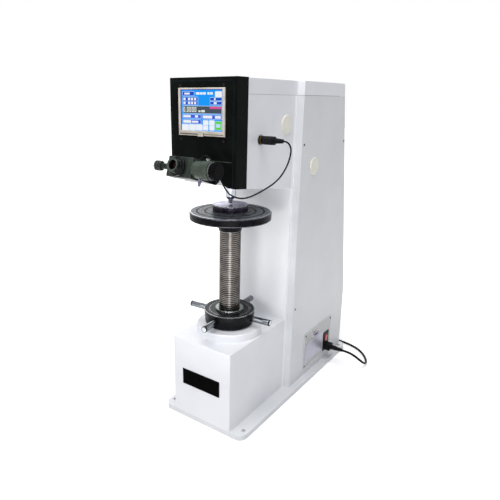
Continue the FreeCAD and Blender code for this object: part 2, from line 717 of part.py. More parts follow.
keep(cut("bridge_cut", bridge_solid, pivot_bore, spindle_bore), "turret_bridge")
keep(turned("holder", [("rod_radius + rod_run", "holder_low - 7"), ("rod_radius + 1.5", "holder_low - 7"),
                       ("holder_radius", "holder_low"), ("holder_radius", "turret_level"),
                       ("rod_radius + rod_run", "turret_level")]), "indenter_holder")
rod_blank = turned("rod_blank", [
    ("0", ball_level), ("ball_radius - 0.4", ball_level), ("rod_radius", ball_level + " + 3"),
    ("rod_radius", "turret_level + turret_thick"), ("rod_radius + 3", "turret_level + turret_thick"),
    ("rod_radius + 3", "turret_level + turret_thick + 4"), ("rod_radius", "turret_level + turret_thick + 4"),
    ("rod_radius", "spindle_low - spindle_gap"), ("0", "spindle_low - spindle_gap")])
ball = doc.addObject("Part::Sphere", "ball")
ball.setExpression("Radius", words("ball_radius"))
place(ball, ("0", "0", ball_level))
keep(cut("rod_cut", rod_blank, ball), "indenter_rod")
keep(ball, "indenter_ball")
objectives = []
for index, angle in enumerate((30, 150)):
    objectives.append(turned("objective_%d" % index, [
        ("0", "objective_low"), ("objective_radius - 4", "objective_low"),
        ("objective_radius", "objective_low + 5"),
        ("objective_radius", "turret_level"), ("0", "turret_level")],
        ("turret_swing * cos(%ddeg)" % angle, "turret_swing + turret_swing * sin(%ddeg)" % angle, "0")))
keep(group("objective_pair", *objectives), "objectives")

# Load train inside head and cabinet: spindle, cell, lever, screw and motor
keep(turned("spindle", [("0", "spindle_low"), ("spindle_radius - 1", "spindle_low"),
                        ("spindle_radius", "spindle_low + 1"),
                        ("spindle_radius", "cell_low"), ("0", "cell_low")]), "load_spindle")
keep(turned("cell", [("0", "cell_low"), ("cell_radius", "cell_low"), ("cell_radius", "cell_low + 8"),
                     ("cell_radius - 5", "cell_low + 10"), ("cell_radius - 5", "lever_low - 10"),
                     ("cell_radius", "lever_low - 8"), ("cell_radius", "lever_low"), ("0", "lever_low")]),
                     "load_cell")
lever_blank = prism("lever_blank", "YZ_Plane",
                    [("-lever_width", "lever_low"), ("lever_rear", "lever_low"),
                     ("lever_rear", "lever_low + 14"),
                     ("lever_pivot_y + 24", "lever_high"), ("-lever_width", "lever_high - 8")], "lever_width")
lever_screw_hole = disc("lever_screw_hole", "load_screw_radius + 0.06", "lever_high - lever_low + 2",
                        ("0", "lever_rear - lever_width", "lever_low - 1"))
lever_pin_hole = disc("lever_pin_hole", "lever_pin_radius + rod_run", "lever_width + 2",
                      ("-lever_width / 2 - 1", "lever_pivot_y", "lever_low + lever_width / 2"), Y_AXIS, "90")
keep(cut("lever_cut", lever_blank, lever_screw_hole, lever_pin_hole), "loading_lever")
keep(disc("lever_pin_rod", "lever_pin_radius", "frame_width - 2 * head_wall",
          ("-frame_width / 2 + head_wall", "lever_pivot_y", "lever_low + lever_width / 2"), Y_AXIS, "90"),
          "lever_pin")
keep(disc("load_screw", "load_screw_radius", "lever_high + 8 - motor_high",
          ("0", "lever_rear - lever_width", "motor_high")), "loading_screw")
motor_case = turned("motor_case", [
    ("0", "motor_low"), ("motor_radius - 3", "motor_low"), ("motor_radius", "motor_low + 3"),
    ("motor_radius", "motor_high - 34"), ("motor_radius - 6", "motor_high - 34"),
    ("motor_radius - 6", "motor_high"), ("0", "motor_high")], ("0", "lever_rear - lever_width", "0"))
shelf_blank = block("shelf_blank", ("-cabinet_width / 2 + sheet_wall", "column_front + column_depth",
                                    "motor_high - 34"),
                    "cabinet_width - 2 * sheet_wall", "motor_shelf_depth", "sheet_wall * 2")
motor_seat = disc("motor_seat", "motor_radius - 5.7", "20",
                  ("0", "lever_rear - lever_width", "motor_high - 40"))
keep(cut("shelf_cut", shelf_blank, motor_seat), "motor_shelf")
keep(motor_case, "loading_motor")

# Electronics behind the access panel
board_face = block("board_face", ("-board_width / 2", "column_front + column_depth + board_stand",
                                  "board_low"),
                   "board_width", "sheet_wall", "board_height")
board_studs = [disc("board_stud_%d" % index, "small_screw", "board_stand",
                    (side + "(board_width / 2 - board_inset)", "column_front + column_depth", level),
                    X_AXIS, "-90")
               for index, (side, level) in enumerate((side, level) for side in (LEFT, RIGHT)
                                                     for level in ("board_low + board_inset",
                                                                   "board_low + board_height - board_inset"))]
keep(group("board_set", board_face, *board_studs), "control_board")

# Measuring eyepiece, tilted up towards the user
eye_at = ("0", "eye_axis_y", "eye_axis_z")
face = "(90 - eye_tilt)"
eye_blank = prism("eye_blank", "XY_Plane",
                  [("-eye_block_width / 2", "-eye_block_height / 2"),
                   ("eye_block_width / 2", "-eye_block_height / 2"),
                   ("eye_block_width / 2", "eye_block_height / 2"),
                   ("-eye_block_width / 2", "eye_block_height / 2")],
                  "eye_block_depth")
eye_round = rounded("eye_round", eye_blank, "bezel_edge", lambda edge: edge.Length > 1)
place(eye_round, eye_at, X_AXIS, face)
spigot_bore = disc("spigot_bore", "spigot_radius + spigot_run", "eye_block_depth", eye_at, X_AXIS, face)
stem_bore = disc("stem_bore", "stem_radius + rod_run", "eye_block_width / 2", eye_at, Y_AXIS, "-90")
keep(cut("eye_cut", eye_round, spigot_bore, stem_bore), "micrometer_block")
keep(turned("barrel", [
    ("lens_radius", "barrel_seat"), ("spigot_radius", "barrel_seat"),
    ("spigot_radius", "eye_block_depth / 2 + fit_gap"),
    ("barrel_base_radius", "eye_block_depth / 2 + fit_gap"),
    ("barrel_base_radius", "eye_block_depth / 2 + 4"),
    ("barrel_eye_radius", "eye_block_depth / 2 + barrel_length"),
    ("barrel_eye_radius - 2.5", "eye_block_depth / 2 + barrel_length"),
    ("lens_radius", "eye_block_depth / 2 + barrel_length - 4")], eye_at, X_AXIS, face), "eyepiece_barrel")
keep(turned("lens", [("0", "eye_block_depth / 2 + 4"), ("lens_radius", "eye_block_depth / 2 + 5"),
                     ("lens_radius", "eye_block_depth / 2 + 9"),
                     ("lens_radius / 2", "eye_block_depth / 2 + 10.5"),
                     ("0", "eye_block_depth / 2 + 11")], eye_at, X_AXIS, face), "ocular_lens")
keep(turned("tube", [("tube_radius - 3", "eye_block_depth / 2"), ("tube_radius", "eye_block_depth / 2"),
                     ("tube_radius", "tube_end"), ("tube_radius - 3", "tube_end")],
            eye_at, X_AXIS, "(-90 - eye_tilt)"), "optical_tube")
keep(turned("line_knob", [
    ("0", "eye_block_width / 2 - 14"), ("stem_radius", "eye_block_width / 2 - 14"),
    ("stem_radius", "eye_block_width / 2 + 0.4"),
    ("line_knob_neck", "eye_block_width / 2 + 0.4"), ("line_knob_neck", "line_knob_end - line_knob_head"),
    ("line_knob_radius - 1.5", "line_knob_end - line_knob_head"),
    ("line_knob_radius", "line_knob_end - line_knob_head + 2"),
    ("line_knob_radius", "line_knob_end - 4"), ("line_knob_radius - 3", "line_knob_end"),
    ("0", "line_knob_end")],
    eye_at, Y_AXIS, "-90"), "line_knob")
ring_start = "eye_block_width / 2 + housing_length"
ring_end = ring_start + " + ring_length"
housing_blank = turned("housing_blank", [
    ("0", "eye_block_width / 2"), ("housing_radius", "eye_block_width / 2"), ("housing_radius", ring_start),
    ("ring_radius", ring_start), ("ring_radius", ring_end), ("0", ring_end)], eye_at, Y_AXIS, "90")
drum_bore = disc("drum_bore", "stem_radius + rod_run", "drum_stem + 1",
                 (ring_end + " - drum_stem", "eye_axis_y", "eye_axis_z"), Y_AXIS, "90")
button_at = ("eye_block_width / 2 + housing_length * 0.75", "eye_axis_y", "eye_axis_z")
button_bore = disc("button_bore", "button_stem + rod_run", "housing_radius + 2", button_at, X_AXIS,
                   "(180 - eye_tilt)")
keep(cut("housing_cut", housing_blank, drum_bore, button_bore), "encoder_housing")
keep(turned("drum", [
    ("0", ring_end + " - drum_stem + drum_gap"), ("stem_radius", ring_end + " - drum_stem + drum_gap"),
    ("stem_radius", ring_end + " + drum_gap"), ("drum_radius - 1.2", ring_end + " + drum_gap"),
    ("drum_radius", ring_end + " + drum_gap + 5"), ("drum_radius", ring_end + " + drum_length - 2"),
    ("drum_radius - 2", ring_end + " + drum_length"), ("0", ring_end + " + drum_length")], eye_at, Y_AXIS,
    "90"),
    "measuring_drum")
keep(turned("button", [
    ("0", "housing_radius - 6"), ("button_stem", "housing_radius - 6"),
    ("button_stem", "housing_radius + 2.4"),
    ("button_radius + 1", "housing_radius + 2.4"), ("button_radius + 1", "housing_radius + 4"),
    ("button_radius - 1", "housing_radius + button_reach"), ("0", "housing_radius + button_reach")],
    button_at, X_AXIS, "(180 - eye_tilt)"), "read_button")
keep(turned("lock", [("0", "ring_radius"), ("small_screw", "ring_radius"), ("small_screw", "ring_radius + 1"),
                     ("small_screw + 1.6", "ring_radius + 1"), ("small_screw + 1.6", "ring_radius + 4"),
                     ("0", "ring_radius + 4.5")],
            (ring_start + " + ring_length * 0.3", "eye_axis_y", "eye_axis_z"), X_AXIS, "-eye_tilt"),
            "drum_lock_screw")

# Sockets and plugs on the right side of the head
din_at = ("frame_width / 2", "din_y", "din_z")
keep(turned("din_shell", [("0", "-14"), ("din_plug_radius", "-14"), ("din_plug_radius", "0"),
                          ("din_plug_radius + 3", "0"),
                          ("din_plug_radius + 3", "1.5"), ("0", "1.5")], din_at, Y_AXIS, "90"), "din_socket")
keep(turned("din_plug", [
    ("0", "1.5"), ("din_plug_radius - 1", "1.5"), ("din_plug_radius - 1", "5"), ("din_plug_radius", "6"),
    ("din_plug_radius", "din_plug_length + 1.5"), ("din_relief_radius + 0.6", "din_plug_length + 2.5"),
    ("din_relief_radius - 1", "din_tail"), ("0", "din_tail")], din_at, Y_AXIS, "90"), "encoder_plug")
plug_profile = [("0", "-5"), ("hole_plug_radius - 3", "-5"), ("hole_plug_radius - 3", "0"),
                ("hole_plug_radius", "0"),
                ("hole_plug_radius", "hole_plug_proud - 1.2"), ("hole_plug_radius - 2", "hole_plug_proud"),
                ("0", "hole_plug_proud")]
hole_plugs = []
for index, (side, turn) in enumerate(((RIGHT, "90"), (LEFT, "-90"))):
    hole_plugs.append(turned("head_plug_%d" % index, plug_profile,
                             (side + "frame_width / 2", "head_plug_y", "head_plug_z"), Y_AXIS, turn))
    hole_plugs.append(turned("cabinet_plug_%d" % index, plug_profile,
                             (side + "cabinet_width / 2", "cabinet_plug_y", "cabinet_plug_z"), Y_AXIS, turn))
keep(group("hole_plug_set", *hole_plugs), "hole_plugs")

# Access panel with its data plate, serial port, inlet and switch
panel_face = "(cabinet_width / 2 + panel_thick)"
access_blank = block("access_blank", ("cabinet_width / 2", "panel_front", "panel_low"), "panel_thick",
                     "panel_rear - panel_front", "panel_high - panel_low")
inlet_body = block("inlet_body", ("cabinet_width / 2 - inlet_depth", "inlet_front + inlet_margin",
                                  "inlet_low + inlet_margin"),
                   "inlet_depth + panel_thick", "inlet_rear - inlet_front - 2 * inlet_margin",
                   "inlet_high - inlet_low - 2 * inlet_margin")
serial_body = block("serial_body", ("cabinet_width / 2 - 10", "serial_y - serial_width / 2",
                                    "serial_z - serial_height / 2"),
                    "10 + panel_thick", "serial_width", "serial_height")
keep(cut("access_cut", access_blank, inlet_body, serial_body), "access_panel")
keep(block("data_face", (panel_face, "data_front", "data_low"), "data_thick", "data_rear - data_front",
           "data_high - data_low"),
     "data_plate")
serial_flange = block("serial_flange", (panel_face, "serial_y - serial_flange_width / 2",
                                        "serial_z - serial_height / 2 - 1"),
                      "1", "serial_flange_width", "serial_height + 2")
serial_shell = block("serial_shell", (panel_face, "serial_y - serial_width / 2 + 1",
                                      "serial_z - serial_height / 2 + 1"),
                     "6", "serial_width - 2", "serial_height - 2")
keep(fuse("serial_solid", serial_body, serial_flange, serial_shell), "serial_port")
inlet_flange = rounded("inlet_flange", block("inlet_flange_blank", (panel_face, "inlet_front", "inlet_low"),
                                             "inlet_proud",
                                             "inlet_rear - inlet_front", "inlet_high - inlet_low"),
                       "bezel_edge", lambda edge: edge.BoundBox.XLength > 1)
inlet_solid = fuse("inlet_solid", inlet_body, inlet_flange)
rocker_pocket = block("rocker_pocket", (panel_face + " - 7", "mains_y - rocker_width / 2 - 0.4",
                                        "rocker_z - rocker_height / 2 - 0.6"),
                      "12", "rocker_width + 0.8", "rocker_height + 1.2")
socket_pocket = block("socket_pocket", (panel_face + " - nose_length - 1",
                                        "mains_y - nose_width / 2 - fit_gap",
                                        "socket_z - nose_height / 2 - fit_gap"),
                      "nose_length + 8", "nose_width + 2 * fit_gap", "nose_height + 2 * fit_gap")
rocker_pivot_bore = disc("rocker_pivot_bore", "rocker_pin_radius + rod_run",
                         "rocker_width + 2 * rocker_pin_reach + 1",
                         (panel_face + " - rocker_pin_depth",
                          "mains_y - rocker_width / 2 - rocker_pin_reach - 0.5", "rocker_z"),
                         X_AXIS, "-90")
keep(cut("inlet_cut", inlet_solid, rocker_pocket, socket_pocket, rocker_pivot_bore), "power_inlet")
rocker_tip = panel_face + " + inlet_proud"
rocker = prism("rocker", "XZ_Plane", [
    (panel_face + " - 3.5", "rocker_z - rocker_height / 2 + 1.5"),
    (rocker_tip + " + 0.5", "rocker_z - rocker_height / 2"),
    (rocker_tip + " + 1.6", "rocker_z"), (rocker_tip + " + 0.5", "rocker_z + rocker_height / 2"),
    (panel_face + " - 3.5", "rocker_z + rocker_height / 2 - 1.5")], "rocker_width")
place(rocker, ("0", "mains_y", "0"))
rocker_pins = disc("rocker_pins", "rocker_pin_radius", "rocker_width + 2 * rocker_pin_reach",
                   (panel_face + " - rocker_pin_depth", "mains_y - rocker_width / 2 - rocker_pin_reach",
                    "rocker_z"),
                   X_AXIS, "-90")
keep(fuse("rocker_solid", rocker, rocker_pins), "rocker_switch")
connector_nose = block("connector_nose", (panel_face + " - nose_length", "mains_y - nose_width / 2",
                                          "socket_z - nose_height / 2"),
                       "nose_length + inlet_proud + 1", "nose_width", "nose_height")
shoulder_blank = block("shoulder_blank", (rocker_tip, "mains_y - nose_width / 2 - 1.5",
                                          "socket_z - nose_height / 2 - 1.5"),
                       "connector_length", "nose_width + 3", "nose_height + 3")
connector_shoulder = rounded("connector_shoulder", shoulder_blank, "cap_wall",
                             lambda edge: edge.BoundBox.XLength > 1)
rib = "(relief_length / 9)"
relief_profile = [("0", "0"), ("relief_radius", "0")]
for step in range(4):
    relief_profile += [("relief_radius - %g" % (0.5 * step), rib + " * %g" % (2 * step + 1)),
                       ("relief_radius - %g" % (0.5 * step + 1.2), rib + " * %g" % (2 * step + 1.2)),
                       ("relief_radius - %g" % (0.5 * step + 1.2), rib + " * %g" % (2 * step + 1.8)),
                       ("relief_radius - %g" % (0.5 * step + 0.5), rib + " * %g" % (2 * step + 2))]
relief_profile += [("lead_radius + 1", "relief_length"), ("0", "relief_length")]
relief = turned("relief", relief_profile, (rocker_tip + " + connector_length", "mains_y", "socket_z"),
                Y_AXIS, "90")
keep(fuse("connector", connector_nose, connector_shoulder, relief), "mains_connector")

# Screws in display, cabinet, access panel and rear door share one node
screw_profile = [("0", "0"), ("small_screw", "0"), ("small_screw", "0.8"), ("small_screw - 1", "1.6"),
                 ("0", "1.6")]
screws = list(display_screws)
for side, turn in ((RIGHT, "90"), (LEFT, "-90")):
    for at_y, at_z in (("cabinet_front + case_screw_inset", "case_screw"),
                       ("cabinet_front + case_screw_inset", "pedestal_top + case_screw_rise"),
                       ("cabinet_top_rear + case_screw_rear_inset", "case_screw_rear")):
        screws.append(turned("case_screw", screw_profile, (side + "cabinet_width / 2", at_y, at_z), Y_AXIS,
                             turn))
for at_y in ("panel_front + panel_screw_inset", "panel_rear - panel_screw_inset"):
    for at_z in ("panel_low + panel_screw_inset", "panel_high - panel_screw_inset"):
        screws.append(turned("panel_screw", screw_profile, (panel_face, at_y, at_z), Y_AXIS, "90"))
for side in (LEFT, RIGHT):
    for at_z in ("door_low + panel_screw_inset", "door_high - panel_screw_inset"):
        screws.append(turned("door_screw", screw_profile, (side + "(door_width / 2 - panel_screw_inset)",
                                                           "cabinet_rear + sheet_wall", at_z), X_AXIS, "-90"))
keep(group("screw_set", *screws), "case_screws")


# Cords: straight runs joined by tangent arcs as large as the runs allow

def cord_path(title, points):
    corners = [Vector(*point) for point in points]
    edges_made, radii, here = [], [], corners[0]
    for before, corner, after in zip(corners, corners[1:], corners[2:]):
        arriving, leaving = corner - before, after - corner
        half_turn = arriving.getAngle(leaving) / 2
        reach = 0.45 * min(arriving.Length, leaving.Length)
        start = corner - arriving.normalize() * reach
        end = corner + leaving.normalize() * reach
        bisector = (end - corner + start - corner).normalize()
        radius = reach / math.tan(half_turn)
        middle = corner + bisector * (radius / math.cos(half_turn) - radius)
        edges_made.append(Part.LineSegment(here, start).toShape())
        edges_made.append(Part.Arc(start, middle, end).toShape())
        radii.append(radius)
        here = end
    edges_made.append(Part.LineSegment(here, corners[-1]).toShape())
    print(title, "radii", " ".join("%.0f" % radius for radius in radii))
    return Part.Wire(edges_made)


def cord_tube(node, points, radius):
    path = cord_path(node, points)
    direction = Vector(*points[1]) - Vector(*points[0])
    ring = Part.Wire(Part.makeCircle(radius, Vector(*points[0]), direction))
    tube = path.makePipeShell([ring], True, False)
    print(node, "length %.0f" % path.Length,
          "volume ratio %.4f" % (tube.Volume / (math.pi * radius ** 2 * path.Length)))
    feature = doc.addObject("Part::Feature", node + "_tube")
    feature.Shape = tube
    return keep(feature, node)


# Encoder cable: out of the block's back, down past the cover and up into its plug
tilt = math.radians(cell("eye_tilt"))
cable_up = 18.4
block_back = cell("eye_block_depth") / 2
cable_y = cell("eye_axis_y") + block_back * math.cos(tilt) + cable_up * math.sin(tilt)
cable_z = cell("eye_axis_z") - block_back * math.sin(tilt) + cable_up * math.cos(tilt)
cable_run = 11.5
plug_tail = (cell("frame_width") / 2 + cell("din_tail"), cell("din_y"), cell("din_z"))
cable_route = [
    (4, cable_y, cable_z), (4, cable_y + cable_run * math.cos(tilt), cable_z - cable_run * math.sin(tilt)),
    (7, -128, 671), (14, -124, 680), (25, -126, 684.5), (36, -129, 680), (46, -130, 670.5), (55, -130, 658),
    (63, -129, 645), (70, -128, 630), (77, -126, 617), (86, -122, 606), (95, -112, 599.5), (99, -97, 596),
    (102, -79, 595.5), (108, -60, 599.5), (118, -42, 608.5), (130, -27, 619), (140, -17, 631),
    (149, -11, 646),
    (157, -9, 663), (163, -10, 680), (166, -11.5, 695), (163, -12.5, 706),
    (155, plug_tail[1], plug_tail[2]), plug_tail]
cord_tube("encoder_cable", cable_route, cell("cable_radius"))

# Mains lead: out of its connector, round the rear corner and into a coil behind the machine
connector_tail = (cell("cabinet_width") / 2 + cell("panel_thick") + cell("inlet_proud") + cell("connector_length")
                  + cell("relief_length"), cell("mains_y"), cell("socket_z"))
coil_outer = cell("coil_middle") + cell("coil_turns_across") * cell("lead_radius")
coil_inner = cell("coil_middle") - cell("coil_turns_across") * cell("lead_radius")
coil_front = cell("coil_y") - coil_outer + cell("lead_radius")
lead_floor = cell("lead_radius") + 0.1
lead_route = [
    connector_tail, (190, 370.5, 55.5), (208, 374, 48), (221, 382, 36), (228, 395, 23), (230, 412, 12),
    (227, 431, 6),
    (219, 451, lead_floor), (207, 470, lead_floor), (192, 487, lead_floor), (174, 502, lead_floor),
    (153, 513, lead_floor), (130, 520, lead_floor), (106, 524, lead_floor), (80, 526.5, lead_floor),
    (52, coil_front + 0.8, lead_floor), (24, coil_front, lead_floor), (8, coil_front + 0.4, lead_floor)]
cord_tube("mains_lead", lead_route, cell("lead_radius"))
coil_ring = turned("coil_ring", [
    ("coil_middle - coil_turns_across * lead_radius", "0"),
    ("coil_middle + coil_turns_across * lead_radius", "0"),
    ("coil_middle + coil_turns_across * lead_radius", "coil_layers * 2 * lead_radius"),
    ("coil_middle - coil_turns_across * lead_radius", "coil_layers * 2 * lead_radius")], ("0", "coil_y", "0"))
keep(coil_ring, "mains_coil")
plug_body = turned("plug_body", [
    ("0", "15"), ("lead_radius + 1", "15"), ("lead_radius + 3", "38"), ("mains_plug_radius - 2", "40"),
    ("mains_plug_radius", "46"), ("mains_plug_radius", "mains_plug_end - 2"),
    ("mains_plug_radius - 2", "mains_plug_end"), ("0", "mains_plug_end")],
    ("0", "mains_plug_y", "mains_plug_radius"), Y_AXIS, "-90")
blades = [block("blade_%s" % name, ("-mains_plug_end - 17", "mains_plug_y " + side + " 6.35 - 0.75",
                                    "mains_plug_radius - 3.15"),
                "18", "1.5", "6.3") for name, side in (("left", "-"), ("right", "+"))]
keep(fuse("plug_solid", plug_body, *blades), "mains_plug")

# Check every object, then write one file for each node
doc.recompute()
for item in doc.Objects:
    if "Invalid" in item.State or "Error" in item.State:
        raise RuntimeError("%s did not build" % item.Label)
for item in nodes:
    if item.Shape.isNull() or not item.Shape.isValid():
        raise RuntimeError("%s has no valid shape" % item.Label)
os.makedirs("parts", exist_ok=True)
for item in nodes:
    item.Shape.exportStep("parts/%s.step" % item.Label)
print(len(nodes), "nodes")
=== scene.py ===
import bpy
import bmesh
import math
from mathutils import Euler, Matrix, Vector


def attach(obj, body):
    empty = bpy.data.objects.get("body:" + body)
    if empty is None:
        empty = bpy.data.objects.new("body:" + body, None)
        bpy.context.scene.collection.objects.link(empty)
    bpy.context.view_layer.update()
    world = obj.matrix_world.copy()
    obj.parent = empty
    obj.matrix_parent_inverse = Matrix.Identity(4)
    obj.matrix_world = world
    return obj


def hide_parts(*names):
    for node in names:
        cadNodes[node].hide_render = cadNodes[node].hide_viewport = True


fullTurn = 2 * math.pi
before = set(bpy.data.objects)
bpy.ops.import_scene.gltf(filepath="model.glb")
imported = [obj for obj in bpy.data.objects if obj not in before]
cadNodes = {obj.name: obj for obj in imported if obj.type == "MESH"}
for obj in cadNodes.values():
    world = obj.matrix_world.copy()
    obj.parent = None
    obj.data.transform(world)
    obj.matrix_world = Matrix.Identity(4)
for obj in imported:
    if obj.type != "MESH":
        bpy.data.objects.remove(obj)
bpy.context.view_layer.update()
print("frame loaded,", len(cadNodes), "nodes")

# camera and room

cameraSetup = {
    "place": (0.68398, -0.95363, 0.79525),   # metres, in the frame of the CAD
    "turn": 36.446,                          # degrees towards -X from straight back
    "tip": -17.602,
    "roll": 0.404,
    "lens": 35.35, "sensor": 36,             # millimetres
    "shift": (0.0532, 0.0128),
    "clip": (0.05, 60),
}

roomSetup = {
    "floorSize": 14.0,
    "floorDrop": 0.0004,
    "floorColor": (0.80, 0.80, 0.80, 1), "floorRough": 0.9, "floorGloss": 0.1,
    "shadowCenter": (0.0, 0.20),             # the shadow stays inside this ellipse
    "shadowReach": (0.52, 0.80),
    "shadowFade": (0.25, 1.0),               # where it thins out, as squared shares of the reach
    "nearGlow": 0.42,                        # what the eye sees added to the floor's own light
    "farGlow": 1.0,
    "worldColor": (0.90, 0.92, 0.96, 1),
    "worldStrength": 0.36,
}

lampSetup = [
    # name, place, target, size, watts, colour, and for the lamp under the head its spread in degrees
    ("keyLamp", (-0.9, -2.9, 1.5), (0.0, 0.0, 0.32), 1.3, 17, (1.0, 1.0, 0.99)),
    ("frontLamp", (0.6, -2.6, 0.9), (0.0, 0.0, 0.42), 0.8, 3, (1.0, 1.0, 1.0)),
    ("fillLamp", (1.5, -1.7, 1.4), (0.0, 0.0, 0.70), 0.9, 5, (0.94, 0.96, 1.0)),
    ("topLamp", (0.2, -0.6, 2.6), (0.0, 0.0, 0.3), 1.6, 52, (1.0, 1.0, 1.0)),
    ("backLamp", (-1.8, 2.6, 2.0), (0.0, 0.1, 0.4), 2.2, 22, (0.98, 0.99, 1.0)),
    ("columnLamp", (0.16, -0.56, 0.46), (0.02, 0.0, 0.40), 0.16, 0.17, (1.0, 1.0, 1.0), 62),
]


def linkNew(name, data):
    thing = bpy.data.objects.new(name, data)
    bpy.context.scene.collection.objects.link(thing)
    return thing


def makeCamera():
    turn, tip = math.radians(cameraSetup["turn"]), math.radians(cameraSetup["tip"])
    forward = Vector((-math.sin(turn) * math.cos(tip), math.cos(turn) * math.cos(tip), math.sin(tip)))
    camera = linkNew("photoCamera", bpy.data.cameras.new("photoCamera"))
    camera.data.lens = cameraSetup["lens"]
    camera.data.sensor_width = cameraSetup["sensor"]
    camera.data.shift_x, camera.data.shift_y = cameraSetup["shift"]
    camera.data.clip_start, camera.data.clip_end = cameraSetup["clip"]
    camera.location = cameraSetup["place"]
    roll = Matrix.Rotation(math.radians(cameraSetup["roll"]), 3, "Z")
    camera.rotation_euler = (forward.to_track_quat("-Z", "Y").to_matrix() @ roll).to_euler()
    bpy.context.scene.camera = camera


def setInputs(tree, node, values):           # a socket is linked, any other value is set
    for label, value in values.items():
        if isinstance(value, bpy.types.NodeSocket):
            tree.links.new(value, node.inputs[label])
        elif value is not None:
            node.inputs[label].default_value = value


def addNode(tree, kind, values={}, **settings):
    node = tree.nodes.new(kind)
    for label, setting in settings.items():
        setattr(node, label, setting)
    setInputs(tree, node, values)
    return node


def addMath(tree, operation, first, second=None, clamp=False):
    values = {0: first, 1: second}
    return addNode(tree, "ShaderNodeMath", values, operation=operation, use_clamp=clamp).outputs[0]


def addRange(tree, value, low, high):
    values = {"Value": value, "From Min": low, "From Max": high}
    return addNode(tree, "ShaderNodeMapRange", values, interpolation_type="SMOOTHSTEP").outputs["Result"]


def splitAxes(tree, place):
    return addNode(tree, "ShaderNodeSeparateXYZ", {0: place}).outputs


def eyeRays(tree):
    rays = addNode(tree, "ShaderNodeLightPath").outputs
    seen = addMath(tree, "MAXIMUM", rays["Is Camera Ray"], rays["Is Glossy Ray"])
    return addMath(tree, "MAXIMUM", seen, rays["Is Transmission Ray"])


def newMaterial(name):
    material = bpy.data.materials.new(name)
    material.use_nodes = True
    tree = material.node_tree
    return material, tree, tree.nodes["Principled BSDF"], addNode(tree, "ShaderNodeTexCoord").outputs["Object"]


def makeFloor():
    size, drop = roomSetup["floorSize"], -roomSetup["floorDrop"]
    near, far = roomSetup["nearGlow"], roomSetup["farGlow"]
    mesh = bpy.data.meshes.new("studioFloor")
    corners = [(-size, -size, drop), (size, -size, drop), (size, size, drop), (-size, size, drop)]
    mesh.from_pydata(corners, [], [(0, 1, 2, 3)])
    paint, tree, shader, place = newMaterial("floorPaint")
    ways = []
    for index in (0, 1):
        off = addMath(tree, "SUBTRACT", splitAxes(tree, place)[index], roomSetup["shadowCenter"][index])
        share = addMath(tree, "DIVIDE", off, roomSetup["shadowReach"][index])
        ways.append(addMath(tree, "MULTIPLY", share, share))
    away = addRange(tree, addMath(tree, "ADD", *ways), *roomSetup["shadowFade"])
    glow = addMath(tree, "ADD", addMath(tree, "MULTIPLY", away, far - near), near)
    setInputs(tree, shader, {
        "Base Color": roomSetup["floorColor"], "Roughness": roomSetup["floorRough"],
        "Specular IOR Level": roomSetup["floorGloss"], "Emission Color": (1, 1, 1, 1),
        "Emission Strength": addMath(tree, "MULTIPLY", eyeRays(tree), glow)})
    mesh.materials.append(paint)
    linkNew("studioFloor", mesh)


def makeWorld():
    world = bpy.data.worlds.new("studioWorld")
    bpy.context.scene.world = world
    world.use_nodes = True
    tree = world.node_tree
    tree.nodes.clear()
    light = addNode(tree, "ShaderNodeBackground", {"Color": roomSetup["worldColor"],
                                                   "Strength": roomSetup["worldStrength"]})
    white = addNode(tree, "ShaderNodeBackground", {"Color": (1, 1, 1, 1)})
    mix = addNode(tree, "ShaderNodeMixShader", {"Fac": eyeRays(tree), 1: light.outputs[0], 2: white.outputs[0]})
    addNode(tree, "ShaderNodeOutputWorld", {"Surface": mix.outputs[0]})


highlightSetup = {                           # a narrow card of light that only polished metal shows
    "place": (0.40, -0.56, 0.235), "target": (0.0, 0.0, 0.235), "width": 0.26, "height": 0.47, "watts": 2.2,
}


def makeLamp(name, place, target, width, watts):
    lamp = linkNew(name, bpy.data.lights.new(name, "AREA"))
    lamp.data.size, lamp.data.energy, lamp.location = width, watts, place
    lamp.rotation_euler = (Vector(target) - Vector(place)).to_track_quat("-Z", "Y").to_euler()
    return lamp


def makeLamps():
    for name, place, target, width, watts, color, *spread in lampSetup:
        lamp = makeLamp(name, place, target, width, watts)
        lamp.data.color = color
        if spread:                           # it lights only what is near its aim
            lamp.data.spread = math.radians(spread[0])
            lamp.visible_camera = lamp.visible_glossy = False
    setup = highlightSetup
    card = makeLamp("highlightCard", setup["place"], setup["target"], setup["width"], setup["watts"])
    card.data.shape, card.data.size_y = "RECTANGLE", setup["height"]
    card.visible_camera = card.visible_diffuse = False


makeCamera()
makeFloor()
makeWorld()
makeLamps()
bpy.context.scene.view_settings.view_transform = "Standard"
print("camera, floor, world and lamps made")

# surface effects shared by the finishes

surfaceSetup = {
    "mottleEdge": (0.32, 0.68), "mottleDetail": 5,       # the noise turns from dark to light between these
    "grainDetail": 2, "bumpHeight": 0.0004,  # metres at full depth
    "ringSlant": 0.83,                       # share of the height in the ring pattern, so that walls get rings too
    "edgeRamp": (0.004, 0.12), "edgeSamples": 4,         # how far the rounded normal leaves the face's own
    "patchSize": 90.0, "patchEdge": (0.3, 0.6), "patchDetail": 4,
    "patchShare": 0.5,                       # share of the painted edge highlight and wear that comes and goes in patches
    "edgePolish": 0.3,                       # edges under the painted highlight and wear are smoother by this share of the low roughness
    "topEdge": (0.8, 0.97),                  # how squarely a face has to look up to get the painted top highlight
    "coatRough": 0.12,
}


def newGroup(name, inputs, outputs, kind="ShaderNodeTree"):
    tree = bpy.data.node_groups.new(name, kind)
    for label, sort, *value in inputs:
        socket = tree.interface.new_socket(name=label, in_out="INPUT", socket_type="NodeSocket" + sort)
        if value:
            socket.default_value = value[0]
    for label, sort in outputs:
        tree.interface.new_socket(name=label, in_out="OUTPUT", socket_type="NodeSocket" + sort)
    return tree, addNode(tree, "NodeGroupInput").outputs, addNode(tree, "NodeGroupOutput")


